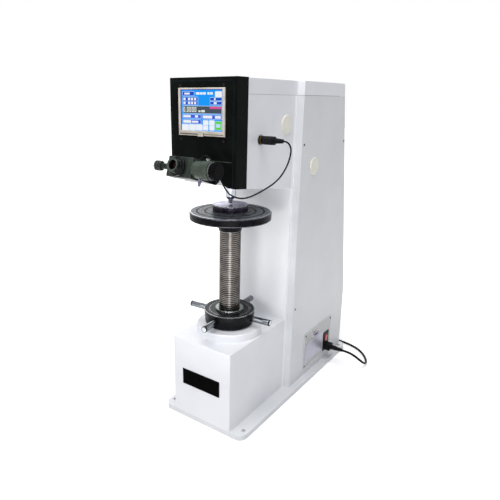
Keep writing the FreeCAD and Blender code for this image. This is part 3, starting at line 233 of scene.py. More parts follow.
def addNoise(tree, place, scale, detail, line=False):
    values = {"W" if line else "Vector": place, "Scale": scale, "Detail": detail}
    return addNode(tree, "ShaderNodeTexNoise", values, noise_dimensions="1D" if line else "3D").outputs["Fac"]


def addMix(tree, mask, first, second):       # a colour mix has its sockets at 0, 6 and 7, and its result at 2
    return addNode(tree, "ShaderNodeMix", {0: mask, 6: first, 7: second}, data_type="RGBA").outputs[2]


def makeGroups():
    setup = surfaceSetup
    tree, source, result = newGroup("paintMottle", [
        ("Place", "Vector"), ("Scale", "Float", 6.0), ("Dark", "Color", (0.5, 0.5, 0.5, 1)),
        ("Light", "Color", (0.6, 0.6, 0.6, 1))], [("Color", "Color"), ("Mask", "Float")])
    blotches = addNoise(tree, source["Place"], source["Scale"], setup["mottleDetail"])
    mask = addRange(tree, blotches, *setup["mottleEdge"])
    setInputs(tree, result, {"Color": addMix(tree, mask, source["Dark"], source["Light"]), "Mask": mask})

    tree, source, result = newGroup("fineGrain", [
        ("Place", "Vector"), ("Scale", "Float", 800.0), ("Stretch", "Vector", (1, 1, 1))], [("Height", "Float")])
    values = {0: source["Place"], 1: source["Stretch"]}
    stretched = addNode(tree, "ShaderNodeVectorMath", values, operation="MULTIPLY")
    grain = addNoise(tree, stretched.outputs[0], source["Scale"], setup["grainDetail"])
    setInputs(tree, result, {"Height": grain})

    tree, source, result = newGroup("turnedRings", [("Place", "Vector"), ("Scale", "Float", 900.0)],
                                    [("Height", "Float")])
    x, y, z = splitAxes(tree, source["Place"])
    squares = [addMath(tree, "MULTIPLY", side, side) for side in (x, y)]
    radius = addMath(tree, "SQRT", addMath(tree, "ADD", *squares))
    along = addMath(tree, "ADD", radius, addMath(tree, "MULTIPLY", z, setup["ringSlant"]))
    rings = addNoise(tree, along, source["Scale"], setup["grainDetail"], line=True)
    setInputs(tree, result, {"Height": rings})

    # edges get a colour where the rounded normal leaves the face's own: mostly a painted highlight, broken into
    # patches like wear
    tree, source, result = newGroup("edgeWearAndLighting", [
        ("Place", "Vector"), ("Width", "Float", 0.0012), ("Amount", "Float", 0.5)], [("Mask", "Float")])
    rounded = addNode(tree, "ShaderNodeBevel", {"Radius": source["Width"]}, samples=setup["edgeSamples"]).outputs[0]
    normal = addNode(tree, "ShaderNodeNewGeometry").outputs["Normal"]
    facing = addNode(tree, "ShaderNodeVectorMath", {0: rounded, 1: normal}, operation="DOT_PRODUCT")
    edge = addRange(tree, addMath(tree, "SUBTRACT", 1.0, facing.outputs["Value"]), *setup["edgeRamp"])
    patches = addNoise(tree, source["Place"], setup["patchSize"], setup["patchDetail"])
    patchy = addMath(tree, "MULTIPLY", addRange(tree, patches, *setup["patchEdge"]), setup["patchShare"])
    edgeWearAndLightingMask = addMath(tree, "MULTIPLY", edge, addMath(tree, "ADD", patchy, 1 - setup["patchShare"]))
    setInputs(tree, result, {"Mask": addMath(tree, "MULTIPLY", edgeWearAndLightingMask, source["Amount"], True)})

    # a mask of faces that look up, which get a lighter colour painted as a highlight
    tree, source, result = newGroup("upFacing", [("Low", "Float", 0.75), ("High", "Float", 0.98)],
                                    [("Mask", "Float")])
    height = splitAxes(tree, addNode(tree, "ShaderNodeNewGeometry").outputs["Normal"])[2]
    setInputs(tree, result, {"Mask": addRange(tree, height, source["Low"], source["High"])})


makeGroups()

# axes that turned finishes go round

tilt = math.radians(17)                      # the eyepiece leans back by this
eyeCenter = (0.0, -0.169, 0.6595)
aboutX, aboutEye = (0, math.pi / 2, 0), (math.pi / 2 - tilt, 0, 0)

# a finish has its dark and light colours, mottle in cycles per metre, roughness from low to high, grain or turned
# rings as cycles per metre and depth, edge wear with painted edge highlight as colour, amount and width in metres,
# top as a lighter colour painted on faces that look up, a painted highlight, glow as colour and strength, and
# gloss, coat and metal as the shader's own values; the first four are what several finishes start from

casePaint = {"mottle": 5, "rough": (0.34, 0.44), "grain": (620, 0.1), "coat": 0.15}
turnedMetal = {"mottle": 45, "rough": (0.22, 0.32), "rings": (1700, 0.05), "center": eyeCenter, "turn": aboutX}
groundSteel = {"mottle": 60, "rough": (0.14, 0.24), "metal": 1.0, "rings": (2000, 0.1)}
flatShade = {"mottle": 90, "rough": (0.4, 0.5), "gloss": 0.1}

finishes = {
    "creamPaint": {**casePaint, "colors": ("#e2e3e8", "#eaebee"), "wearAndEdgeLighting": ("#f6f6f8", 0.35, 0.0016)},
    "sidePaint": {**casePaint, "colors": ("#d2d4d7", "#dcdde0"), "wearAndEdgeLighting": ("#f6f6f8", 0.45, 0.0016)},
    # its white edge colour is a painted highlight
    "panelPaint": {**casePaint, "colors": ("#b4b6b6", "#bfc1c1"), "mottle": 9, "coat": 0.1,
                   "wearAndEdgeLighting": ("#ffffff", 0.9, 0.0012)},
    # a lighter copy of the cream paint for the column: painted light where the head shades it
    "columnLitPaint": {**casePaint, "colors": ("#f4f5f8", "#fafafc"), "grain": (620, 0.08)},
    # its lighter edge colour is a painted highlight on the chamfers
    "textureBlack": {"colors": ("#040605", "#0c110f"), "mottle": 26, "rough": (0.5, 0.66), "grain": (1300, 0.6),
                     "gloss": 0.03, "wearAndEdgeLighting": ("#2c343c", 0.8, 0.0016)},
    # its light edge colour is a painted rim highlight
    "wheelBlack": {"colors": ("#07080a", "#0f1013"), "mottle": 30, "rough": (0.2, 0.32), "rings": (1100, 0.1),
                   "gloss": 0.08, "wearAndEdgeLighting": ("#8d9597", 0.9, 0.0018)},
    # the lighter top is partly the anvil's ground face and partly a painted highlight; its light edge colour is a
    # painted rim highlight
    "anvilSteel": {"colors": ("#07060a", "#111014"), "mottle": 70, "rough": (0.24, 0.36), "rings": (1500, 0.5),
                   "gloss": 0.05, "top": "#5d6268", "wearAndEdgeLighting": ("#b4b8c4", 0.9, 0.0022)},
    "brightSteel": {"colors": ("#54504e", "#6e6a67"), "mottle": 40, "rough": (0.18, 0.28), "metal": 1.0,
                    "rings": (1600, 0.15)},
    "nutSteel": {"colors": ("#59615e", "#78807c"), "mottle": 40, "rough": (0.2, 0.3), "metal": 1.0,
                 "rings": (1400, 0.2), "wearAndEdgeLighting": ("#d2d4d3", 0.7, 0.0008)},
    # the lighter top colour is a painted highlight
    "polishedSteel": {**groundSteel, "colors": ("#4d4858", "#6f6a7b"), "top": "#8e8ca6",
                      "wearAndEdgeLighting": ("#f2f2fa", 0.8, 0.0009)},
    # the lighter top colour and the light edge colour are painted highlights
    "blockSteel": {**groundSteel, "colors": ("#1f1b26", "#38323f"), "rough": (0.2, 0.3), "metal": 0.8,
                   "rings": (2000, 0.04), "gloss": 0.2, "top": "#9392ad", "wearAndEdgeLighting": ("#f2f2fa", 1.0, 0.0022)},
    "paleSteel": {**groundSteel, "colors": ("#a9acb6", "#c4c6d0"), "wearAndEdgeLighting": ("#ffffff", 0.8, 0.0009)},
    # its dark edge colour is a painted dark reflection
    "chrome": {"colors": ("#5f6367", "#7d8186"), "mottle": 30, "rough": (0.07, 0.14), "metal": 1.0,
               "wearAndEdgeLighting": ("#24262a", 0.7, 0.001)},
    "ballCarbide": {"colors": ("#6e7074", "#84868a"), "mottle": 80, "rough": (0.08, 0.12), "metal": 1.0},
    "eyeAlloy": {"colors": ("#262c27", "#353c36"), "mottle": 45, "rough": (0.3, 0.42), "grain": (1800, 0.15),
                 "gloss": 0.1, "wearAndEdgeLighting": ("#9aa099", 0.75, 0.0011)},
    "turnedAlloy": {**turnedMetal, "colors": ("#363e37", "#475047"), "metal": 0.25, "gloss": 0.15,
                    "wearAndEdgeLighting": ("#6d736d", 0.25, 0.0007)},
    "knobAlloy": {**turnedMetal, "colors": ("#1b201c", "#2a302b"), "gloss": 0.12, "wearAndEdgeLighting": ("#8a918a", 0.5, 0.0007)},
    "barrelAlloy": {**turnedMetal, "colors": ("#090b0a", "#121513"), "rough": (0.2, 0.3), "gloss": 0.12,
                    "turn": aboutEye, "wearAndEdgeLighting": ("#4d544f", 0.4, 0.0006)},
    "drumBlack": {**turnedMetal, "colors": ("#020203", "#060607"), "mottle": 60, "rough": (0.28, 0.4),
                  "rings": (1900, 0.05), "gloss": 0.03, "wearAndEdgeLighting": ("#22262a", 0.6, 0.0007)},
    "bezelSilver": {"colors": ("#b3aa9e", "#cbc2b6"), "mottle": 30, "rough": (0.3, 0.4), "metal": 0.3,
                    "grain": (500, 0.12), "stretch": (0.15, 1, 4), "gloss": 0.3, "wearAndEdgeLighting": ("#f6efec", 0.9, 0.0009)},
    "screenGlass": {"colors": ("#061a4a", "#08205a"), "mottle": 12, "rough": (0.08, 0.12), "gloss": 0.3,
                    "glow": ("#0a4cc4", 0.7)},
    "blackPlastic": {"colors": ("#0b0b0d", "#131416"), "mottle": 60, "rough": (0.36, 0.5), "grain": (1600, 0.2),
                     "gloss": 0.08, "wearAndEdgeLighting": ("#4c4e52", 0.5, 0.0007)},
    "creamPlastic": {"colors": ("#e6e3d6", "#eeebdf"), "mottle": 40, "rough": (0.34, 0.44), "grain": (900, 0.06),
                     "wearAndEdgeLighting": ("#f7f5ee", 0.4, 0.0009)},
    "redPlastic": {"colors": ("#b3131c", "#c91c24"), "mottle": 60, "rough": (0.16, 0.24), "glow": ("#d01018", 0.12)},
    "bluePlastic": {"colors": ("#23408e", "#2c4da2"), "mottle": 60, "rough": (0.3, 0.4)},
    "greyPlate": {"colors": ("#adadbd", "#bcbcc9"), "mottle": 25, "rough": (0.28, 0.38), "metal": 0.45,
                  "grain": (420, 0.12), "stretch": (1, 0.12, 5), "wearAndEdgeLighting": ("#e6e6ee", 0.8, 0.0009)},
    "plateBlack": {"colors": ("#020202", "#050505"), "mottle": 18, "rough": (0.2, 0.3), "grain": (500, 0.05),
                   "stretch": (0.12, 1, 5), "gloss": 0.01, "wearAndEdgeLighting": ("#77797c", 0.7, 0.0007)},
    # the light pink tone, in random patches, is a painted reflection
    "lensGlass": {"colors": ("#0f0b0e", "#5c3f40"), "mottle": 160, "rough": (0.03, 0.05), "gloss": 0.3},
    "ringGrey": {**flatShade, "colors": ("#3a403b", "#4c534d"), "rough": (0.3, 0.4)},
    "grooveDark": {**flatShade, "colors": ("#050507", "#0b0b0d"), "gloss": 0.02},
    "seamShade": {**flatShade, "colors": ("#807a86", "#98929c"), "mottle": 40},
    "lipShade": {**flatShade, "colors": ("#4c4a46", "#625f59")},
    "cordRubber": {"colors": ("#08080a", "#101013"), "mottle": 120, "rough": (0.36, 0.48), "grain": (1400, 0.15),
                   "gloss": 0.08},
    "boardGreen": {"colors": ("#124b2c", "#18603a"), "mottle": 90, "rough": (0.25, 0.4), "coat": 0.3},
    "portMetal": {"colors": ("#b7aeb4", "#cfc6cb"), "mottle": 60, "rough": (0.2, 0.3), "metal": 1.0,
                  "wearAndEdgeLighting": ("#f6eef2", 0.6, 0.0006)},
    "markWhite": {"colors": ("#c9ccca", "#e2e4e2"), "mottle": 90, "rough": (0.4, 0.5), "grain": (2000, 0.05)},
    "screwDark": {"colors": ("#141014", "#2a2327"), "mottle": 120, "rough": (0.24, 0.36), "metal": 0.5, "gloss": 0.1,
                  "wearAndEdgeLighting": ("#5c5358", 0.5, 0.0005)},
    "brassTip": {"colors": ("#5c4428", "#94703f"), "mottle": 60, "rough": (0.2, 0.3), "metal": 1.0},
}

screenTints = {                              # lit colours of the display
    "litSky": "#0a9bff", "litDeep": "#1650cc", "litViolet": "#3a5ce0", "litLine": "#c3e2ff", "litWhite": "#f4f8ff",
    "litGrey": "#47525e", "litDigit": "#e9ece0", "litPink": "#e0559c", "litGreen": "#5fd94c",
}


def tinted(code):                            # a screen colour as the linear one that sockets take
    parts = [int(code[i:i + 2], 16) / 255 for i in (1, 3, 5)]
    return tuple(part / 12.92 if part <= 0.04045 else ((part + 0.055) / 1.055) ** 2.4 for part in parts) + (1,)


def addGroup(tree, name, **values):
    node = addNode(tree, "ShaderNodeGroup", node_tree=bpy.data.node_groups[name])
    setInputs(tree, node, values)
    return node.outputs


def makeFinish(name, finish):
    setup = surfaceSetup
    material, tree, shader, place = newMaterial(name)
    if "turn" in finish:                     # the turning axis of a tilted or crosswise piece becomes Z
        values = {"Vector": place, "Location": finish["center"], "Rotation": finish["turn"]}
        place = addNode(tree, "ShaderNodeMapping", values, vector_type="TEXTURE").outputs[0]
    dark, light = finish["colors"]
    mottle = addGroup(tree, "paintMottle", Place=place, Scale=finish["mottle"],
                      Dark=tinted(dark), Light=tinted(light))
    color = mottle["Color"]
    low, high = finish["rough"]
    roughness = addMath(tree, "ADD", addMath(tree, "MULTIPLY", mottle["Mask"], high - low), low)
    # faces that look up get the lighter top colour: a painted highlight
    if "top" in finish:
        topLow, topHigh = setup["topEdge"]
        facing = addGroup(tree, "upFacing", Low=topLow, High=topHigh)["Mask"]
        color = addMix(tree, facing, color, tinted(finish["top"]))
    # edge colour: a painted edge highlight with patchy wear; on chrome a darker one, a painted dark reflection
    if "wearAndEdgeLighting" in finish:
        edgeWearAndLightingColor, amount, width = finish["wearAndEdgeLighting"]
        edgeWearAndLightingMask = addGroup(tree, "edgeWearAndLighting", Place=place, Width=width, Amount=amount)["Mask"]
        color = addMix(tree, edgeWearAndLightingMask, color, tinted(edgeWearAndLightingColor))
        polish = addMath(tree, "MULTIPLY", edgeWearAndLightingMask, low * setup["edgePolish"])
        roughness = addMath(tree, "SUBTRACT", roughness, polish, True)
    height, depth = None, 0.0
    if "rings" in finish:
        cycles, depth = finish["rings"]
        height = addGroup(tree, "turnedRings", Place=place, Scale=cycles)["Height"]
    elif "grain" in finish:
        cycles, depth = finish["grain"]
        height = addGroup(tree, "fineGrain", Place=place, Scale=cycles, Stretch=finish.get("stretch"))["Height"]
    if height is not None:
        values = {"Strength": depth, "Distance": setup["bumpHeight"], "Height": height}
        setInputs(tree, shader, {"Normal": addNode(tree, "ShaderNodeBump", values).outputs[0]})
    if "coat" in finish:
        setInputs(tree, shader, {"Coat Weight": finish["coat"], "Coat Roughness": setup["coatRough"]})
    if "glow" in finish:
        tint, strength = finish["glow"]
        setInputs(tree, shader, {"Emission Color": tinted(tint), "Emission Strength": strength})
    setInputs(tree, shader, {"Base Color": color, "Roughness": roughness, "Metallic": finish.get("metal"),
                             "Specular IOR Level": finish.get("gloss")})
    return material


for tintName, tint in screenTints.items():
    finishes[tintName] = {"colors": ("#0b0d10", "#14171b"), "mottle": 200, "rough": (0.10, 0.15),
                          "grain": (3500, 0.03), "gloss": 0.05, "glow": (tint, 0.92)}
materials = {name: makeFinish(name, finish) for name, finish in finishes.items()}
print(len(materials), "finishes made")

# cords

cableSetup = {
    "diameter": 0.0035, "sides": 4, "steps": 8, "length": 0.379,
    "route": [
        (0.004, -0.14928, 0.67271), (0.004, -0.13828, 0.66935), (0.007, -0.128, 0.671), (0.014, -0.124, 0.680),
        (0.025, -0.126, 0.6845), (0.036, -0.129, 0.680), (0.046, -0.130, 0.6705), (0.055, -0.130, 0.658),
        (0.063, -0.129, 0.645), (0.070, -0.128, 0.630), (0.077, -0.126, 0.617), (0.086, -0.122, 0.606),
        (0.095, -0.112, 0.5995), (0.099, -0.097, 0.596), (0.102, -0.079, 0.5955), (0.108, -0.060, 0.5995),
        (0.118, -0.042, 0.6085), (0.130, -0.027, 0.619), (0.140, -0.017, 0.631), (0.149, -0.011, 0.646),
        (0.157, -0.009, 0.663), (0.163, -0.010, 0.680), (0.166, -0.0115, 0.695), (0.163, -0.0125, 0.706),
        (0.155, -0.013, 0.713), (0.146, -0.013, 0.713)],
}

leadSetup = {
    "diameter": 0.007, "sides": 5, "steps": 6, "length": 1.70,
    "route": [
        (0.1695, 0.370, 0.056), (0.190, 0.3705, 0.0555), (0.208, 0.374, 0.048), (0.221, 0.382, 0.036),
        (0.228, 0.395, 0.023), (0.230, 0.412, 0.012), (0.227, 0.431, 0.006), (0.219, 0.451, 0.0036),
        (0.207, 0.470, 0.0036), (0.192, 0.487, 0.0036), (0.174, 0.502, 0.0036), (0.153, 0.513, 0.0036),
        (0.130, 0.520, 0.0036), (0.106, 0.524, 0.0036), (0.080, 0.5265, 0.0036), (0.052, 0.5273, 0.0036),
        (0.024, 0.5265, 0.0036), (0.010, 0.5269, 0.0036)],
    "coilCenter": (0.0, 0.572), "coilOuter": 0.0455, "coilStep": 0.007, "coilTurns": 6, "pointsPerTurn": 16,
    "lowLayer": 0.0036, "layerRise": 0.0071, "climbTurns": 0.5,
    "intoPlug": [(-0.009, 0.5258, 0.0118), (-0.015, 0.524, 0.013)],
}


def makeCord(name, points, setup):
    curve = bpy.data.curves.new(name, "CURVE")
    curve.dimensions = "3D"
    curve.bevel_depth = setup["diameter"] / 2
    curve.bevel_resolution = setup["sides"]
    curve.resolution_u = setup["steps"]
    curve.use_fill_caps = True
    line = curve.splines.new("NURBS")
    line.points.add(len(points) - 1)
    for knot, place in zip(line.points, points):
        knot.co = (*place, 1)
    line.order_u = 3                         # after the points, so that it holds
    line.use_endpoint_u = True
    curve.materials.append(materials["cordRubber"])
    return linkNew(name, curve)


def coilOf(setup):
    centerX, centerY = setup["coilCenter"]
    half = setup["coilTurns"] / 2            # turns in each layer: inwards below, outwards above
    points = []
    for index in range(int(setup["coilTurns"] * setup["pointsPerTurn"]) + 1):
        turns = index / setup["pointsPerTurn"]
        radius = setup["coilOuter"] - setup["coilStep"] * (half - abs(turns - half))
        climb = min(max((turns - half) / setup["climbTurns"] + 0.5, 0), 1)
        angle = -math.pi / 2 - fullTurn * turns          # from the front, clockwise
        points.append((centerX + radius * math.cos(angle), centerY + radius * math.sin(angle),
                       setup["lowLayer"] + setup["layerRise"] * climb))
    return points


encoderCable = makeCord("encoderCable", cableSetup["route"], cableSetup)
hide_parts("encoder_cable")
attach(encoderCable, "frame")

mainsLead = makeCord("mainsLead", leadSetup["route"] + coilOf(leadSetup) + leadSetup["intoPlug"], leadSetup)
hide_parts("mains_lead", "mains_coil")
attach(mainsLead, "frame")
print("cords laid")

# finishes of the CAD pieces

nodeFinish = {
    "creamPaint": ["pedestal", "head_frame", "top_cap", "boss_ring"],
    "columnLitPaint": ["column"],
    "sidePaint": ["rear_cabinet", "rear_door", "base_plate"],
    "panelPaint": ["access_panel"],
    "textureBlack": ["front_cover", "display_panel", "lower_hatch"],
    "wheelBlack": ["handwheel"],
    "anvilSteel": ["anvil"],
    "nutSteel": ["screw_nut", "thrust_bearing", "turret_disc", "turret_bridge", "drum_lock_screw"],
    "brightSteel": ["lead_screw", "screw_key", "loading_lever", "lever_pin", "loading_screw", "load_spindle",
                    "motor_shelf"],
    "blockSteel": ["test_block"],
    "polishedSteel": ["read_button", "indenter_rod", "objectives", "load_cell"],
    "paleSteel": ["indenter_holder"],
    "ballCarbide": ["indenter_ball"],
    "chrome": ["handwheel_spokes", "din_socket"],
    "screwDark": ["case_screws"],
    "eyeAlloy": ["micrometer_block"],
    "turnedAlloy": ["encoder_housing"],
    "barrelAlloy": ["eyepiece_barrel", "optical_tube"],
    "drumBlack": ["measuring_drum"],
    "knobAlloy": ["line_knob"],
    "bezelSilver": ["display_bezel"],
    "screenGlass": ["touch_screen"],
    "plateBlack": ["nameplate"],
    "blackPlastic": ["display_module", "loading_motor", "encoder_plug", "power_inlet", "mains_connector",
                     "mains_plug"],
    "creamPlastic": ["hole_plugs"],
    "redPlastic": ["rocker_switch"],
    "greyPlate": ["data_plate"],
    "portMetal": ["serial_port"],
    "lensGlass": ["ocular_lens"],
    "boardGreen": ["control_board"],
    "cordRubber": ["encoder_cable", "mains_lead", "mains_coil"],
}

for finishName, nodeNames in nodeFinish.items():
    for nodeName in nodeNames:
        cadNodes[nodeName].data.materials[0] = materials[finishName]
print("finishes given to the CAD pieces")

# pieces made here: a shape is closed as a mesh, then gets its name, finish and body


def meshPiece(name, mesh, finish, body, slotName, *nodes):
    mesh.name = name
    mesh.materials.clear()
    mesh.materials.append(materials[finish])
    piece = linkNew(name, mesh)
    if nodes:
        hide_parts(*nodes)
    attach(piece, body)


def closeMesh(shape, smooth=None, merge=1e-6):
    bmesh.ops.remove_doubles(shape, verts=shape.verts, dist=merge)
    bmesh.ops.dissolve_degenerate(shape, edges=shape.edges, dist=merge)
    gaps = [edge for edge in shape.edges if edge.is_boundary]
    if gaps:
        bmesh.ops.holes_fill(shape, edges=gaps)
    bmesh.ops.recalc_face_normals(shape, faces=shape.faces)
    mesh = bpy.data.meshes.new("shape")
    shape.to_mesh(mesh)
    shape.free()
    if smooth is not None:
        mesh.polygons.foreach_set("use_smooth", [True] * len(mesh.polygons))
        mesh.set_sharp_from_angle(angle=math.radians(smooth))
    return mesh


# lifting screw: a real thread in place of the plain cylinder

screwThread = {
    "pitch": 0.005, "crest": 0.027, "root": 0.0247, "sides": 72,
    "low": 0.2191, "high": 0.516,
    "outline": [(0.0, "root"), (0.22, "root"), (0.40, "crest"), (0.82, "crest")],        # share of the pitch, where
    "spareTurns": 3,                         # turns past the ends, flattened to them
    "smooth": 25, "keyHalf": 0.004, "keyFloor": 0.0235,  # degrees, and the keyway at the rear
}


def makeScrew():
    setup, shape, rows = screwThread, bmesh.new(), []
    turns = int((setup["high"] - setup["low"]) / setup["pitch"]) + setup["spareTurns"]
    for turn in range(-1, turns):
        for share, where in setup["outline"]:
            row = []
            for side in range(setup["sides"] + 1):
                angle = fullTurn * side / setup["sides"]
                level = setup["low"] + setup["pitch"] * (turn + share + side / setup["sides"])
                x, y = setup[where] * math.cos(angle), setup[where] * math.sin(angle)
                if y > 0 and abs(x) < setup["keyHalf"]:
                    y = min(y, setup["keyFloor"])
                row.append(shape.verts.new((x, y, min(max(level, setup["low"]), setup["high"]))))
            rows.append(row)
    for below, above in zip(rows, rows[1:]):
        for side in range(setup["sides"]):
            shape.faces.new((below[side], below[side + 1], above[side + 1], above[side]))
    meshPiece("liftingScrew", closeMesh(shape, setup["smooth"]), "brightSteel", "lift", "bright_steel", "lead_screw")


makeScrew()
print("lifting screw threaded")

# what the display shows: plain fields, buttons and bars, and a number of noughts

screenLayout = {                             # boxes in millimetres: left, low, right, high
    "face": -0.1102, "step": 0.00012,        # metres, with one step from layer to layer
    "layers": {"sky": 1, "line": 2, "field": 3, "bar": 4},
    "corners": {"sky": 0.5, "field": 1.1, "bar": 0.4, "digit": 0.2}, "line": 0.9,
    "sky": (-55.0, 732.0, 55.0, 816.0),
    "fields": {
        "litDeep": [(-50.8, 805.1, -19.4, 813.2), (-51, 794.3, -9.2, 801.8), (-51, 786.5, -9.2, 793.5),
                    (24.4, 795.3, 54.2, 800.9), (24.4, 787.2, 54.2, 792.8)],
        "litViolet": [(-51.9, 759.3, -1, 766), (3.4, 758.2, 54.2, 766), (-52.2, 747.8, -1.1, 755.6)],
        "litGrey": [(-50.8, 769.2, 54.2, 783.6)],
        "litWhite": [(37.5, 802.5, 54, 812.8), (-54, 733.3, -35.2, 745.2), (-33.4, 734, -15.1, 745.6),
                     (-13.9, 734.4, 3.1, 746), (5.4, 745.6, 19, 754.8), (22, 745.8, 35, 755.2),
                     (5.4, 735, 18.6, 744), (22.4, 735.4, 34.6, 744.6)],
        "litGreen": [(36.8, 736.8, 54, 753.7)],
    },
    "bars": {
        "litWhite": [(-46, 807.3, -31, 811), (-13.9, 807, -4, 811.8), (-2.4, 807, 4, 811.8), (5.6, 807, 12.6, 811.8),
                     (17, 807, 22.6, 811.8), (24.4, 807, 31, 811.8),
                     (-49, 795.6, -43, 800.6), (-36, 795.6, -30, 800.6), (-27.6, 795.6, -22, 800.6),
                     (-19, 795.6, -13.4, 800.6), (-49, 787.7, -43, 792.5), (-36, 787.7, -30, 792.5),
                     (-27.6, 787.7, -22, 792.5), (-19, 787.7, -13.4, 792.5),
                     (34.6, 796.2, 38.6, 800.1), (33.8, 788, 41.4, 792),
                     (-50, 760.4, -29, 765), (-17, 760.4, -8.6, 765), (5, 759.3, 29.6, 765), (37, 759.5, 52, 764.8),
                     (-50.4, 748.9, -28, 754.6), (-26, 749.6, -8, 753.6)],
        "litDigit": [(-7.6, 771.6, -1.6, 775.2), (0.4, 771.6, 10, 776)],
        "litPink": [(22.8, 778.6, 53, 782.9)],
        "litLine": [(39.8, 741.4, 51, 748.6)],
    },
    "digits": {"text": "0.0000", "left": -49.4, "low": 771.6, "wide": 5.0, "high": 10.2, "space": 2.1, "bar": 1.6,
               "pointBack": 0.2, "pointStep": 0.4},
    "noughtBars": [(0, 1, 1, 1), (0, 0, 1, 0), (0, 0.5, 0, 1), (1, 0.5, 1, 1), (0, 0, 0, 0.5), (1, 0, 1, 0.5)],
}


def digitBoxes(text, left, low, wide, high, space, bar, pointBack, pointStep):
    boxes = []
    for sign in text:
        if sign == ".":
            point = left - space * pointBack
            boxes.append((point, low, point + bar, low + bar))
            left += space + bar * pointStep
            continue
        for a, b, c, d in screenLayout["noughtBars"]:     # ends of a bar, as shares of the nought's size
            boxes.append((left + a * (wide - bar), low + b * (high - bar),
                          left + c * (wide - bar) + bar, low + d * (high - bar) + bar))
        left += wide + space
    return boxes


def addSlab(shape, box, back, front, corner, steps=4):
    left, low, right, high, corner = (value / 1000 for value in (*box, corner))          # in metres
    corner = min(corner, (right - left) / 2.01, (high - low) / 2.01)     # round ends never quite meet
    outline = []
    for cx, cz, start in ((right, high, 0), (left, high, 90), (left, low, 180), (right, low, 270)):
        ax, az = cx + (corner if cx == left else -corner), cz + (corner if cz == low else -corner)
        for step in range(steps + 1):
            angle = math.radians(start + 90 * step / steps)
            outline.append((ax + corner * math.cos(angle), az + corner * math.sin(angle)))
    rings = [[shape.verts.new((x, y, z)) for x, z in outline] for y in (back, front)]
    shape.faces.new(rings[0])
    shape.faces.new(rings[1][::-1])
    for index in range(len(outline)):
        after = (index + 1) % len(outline)
        shape.faces.new((rings[0][index], rings[1][index], rings[1][after], rings[0][after]))


def grown(box, extra):
    return (box[0] - extra, box[1] - extra, box[2] + extra, box[3] + extra)


def makeDisplay():
    setup = screenLayout
    face, line, layers, corners = setup["face"], setup["line"], setup["layers"], setup["corners"]
    tiles = {name: [] for name in screenTints}
    tiles["litSky"].append((setup["sky"], layers["sky"], corners["sky"]))
    for name, boxes in setup["fields"].items():
        tiles[name] += [(box, layers["field"], corners["field"]) for box in boxes]
        tiles["litLine"] += [(grown(box, line), layers["line"], corners["field"] + line) for box in boxes]
    for name, boxes in setup["bars"].items():
        tiles[name] += [(box, layers["bar"], corners["bar"]) for box in boxes]
    tiles["litDigit"] += [(box, layers["bar"], corners["digit"]) for box in digitBoxes(**setup["digits"])]
    for name, boxes in tiles.items():
        shape = bmesh.new()
        for box, layer, rounding in boxes:
            addSlab(shape, box, face, face - setup["step"] * layer, rounding)
        meshPiece(name.replace("lit", "display"), closeMesh(shape), name, "frame", "screen_glass")


makeDisplay()
print("display lit")

# shapes turned about an axis, and the tree that repeats a shape round or along one


def latheMesh(profile, sides=48, smooth=30):
    shape = bmesh.new()                      # a closed outline of (along, radius), so each ring meets the next
    rings = []
    for along, radius in profile:
        angles = [fullTurn * side / sides for side in range(sides)]
        rings.append([shape.verts.new((radius * math.cos(a), radius * math.sin(a), along)) for a in angles])
    for ring, after in zip(rings, rings[1:] + rings[:1]):
        for side in range(sides):
            beside = (side + 1) % sides
            shape.faces.new((ring[side], ring[beside], after[beside], after[side]))
    return closeMesh(shape, smooth)


def boxMesh(low, high, rounding=0.0, steps=2, smooth=40):
    shape = bmesh.new()
    bmesh.ops.create_cube(shape, size=1)
    for vert in shape.verts:
        vert.co = [a + (b - a) * (c + 0.5) for a, b, c in zip(low, high, vert.co)]
    if rounding:
        bmesh.ops.bevel(shape, geom=shape.edges[:], offset=rounding, segments=steps, profile=0.5, affect="EDGES")
    return closeMesh(shape, smooth)


def moved(mesh, place):
    mesh.transform(place)
    return mesh


def makeRepeatTree():
    tree, source, result = newGroup("repeatShape", [
        ("Geometry", "Geometry"), ("Count", "Int"), ("Turn", "Float"), ("Rise", "Float"), ("Shrink", "Float"),
        ("Finish", "Material")], [("Geometry", "Geometry")], "GeometryNodeTree")
    index = addNode(tree, "GeometryNodeInputIndex").outputs[0]
    place, turn = [addNode(tree, "ShaderNodeCombineXYZ", {"Z": addMath(tree, "MULTIPLY", index, source[label])})
                   for label in ("Rise", "Turn")]
    size = addMath(tree, "SUBTRACT", 1.0, addMath(tree, "MULTIPLY", index, source["Shrink"]))
    scale = addNode(tree, "ShaderNodeCombineXYZ", {"X": size, "Y": size, "Z": 1})
    points = addNode(tree, "GeometryNodePoints", {"Count": source["Count"], "Position": place.outputs[0]})
    copies = addNode(tree, "GeometryNodeInstanceOnPoints", {
        "Points": points.outputs[0], "Instance": source["Geometry"], "Rotation": turn.outputs[0],
        "Scale": scale.outputs[0]})
    real = addNode(tree, "GeometryNodeRealizeInstances", {0: copies.outputs[0]})
    finish = addNode(tree, "GeometryNodeSetMaterial", {"Geometry": real.outputs[0], "Material": source["Finish"]})
    setInputs(tree, result, {"Geometry": finish.outputs[0]})
    return tree


repeatTree = makeRepeatTree()


def repeated(title, mesh, finish, body, slotName, place, count, turn=0.0, rise=0.0, shrink=0.0):
    seed = linkNew(title + "Seed", mesh)
    repeat = seed.modifiers.new("repeat", "NODES")
    repeat.node_group = repeatTree
    values = {"Count": count, "Turn": float(turn), "Rise": float(rise), "Shrink": float(shrink),
              "Finish": materials[finish]}
    for socket in repeatTree.interface.items_tree:
        if socket.in_out == "INPUT" and socket.name in values:
            repeat[socket.identifier] = values[socket.name]
    result = bpy.data.meshes.new_from_object(seed.evaluated_get(bpy.context.evaluated_depsgraph_get()))
    bpy.data.objects.remove(seed)
    bpy.data.meshes.remove(mesh)
    meshPiece(title, moved(result, place), finish, body, slotName)


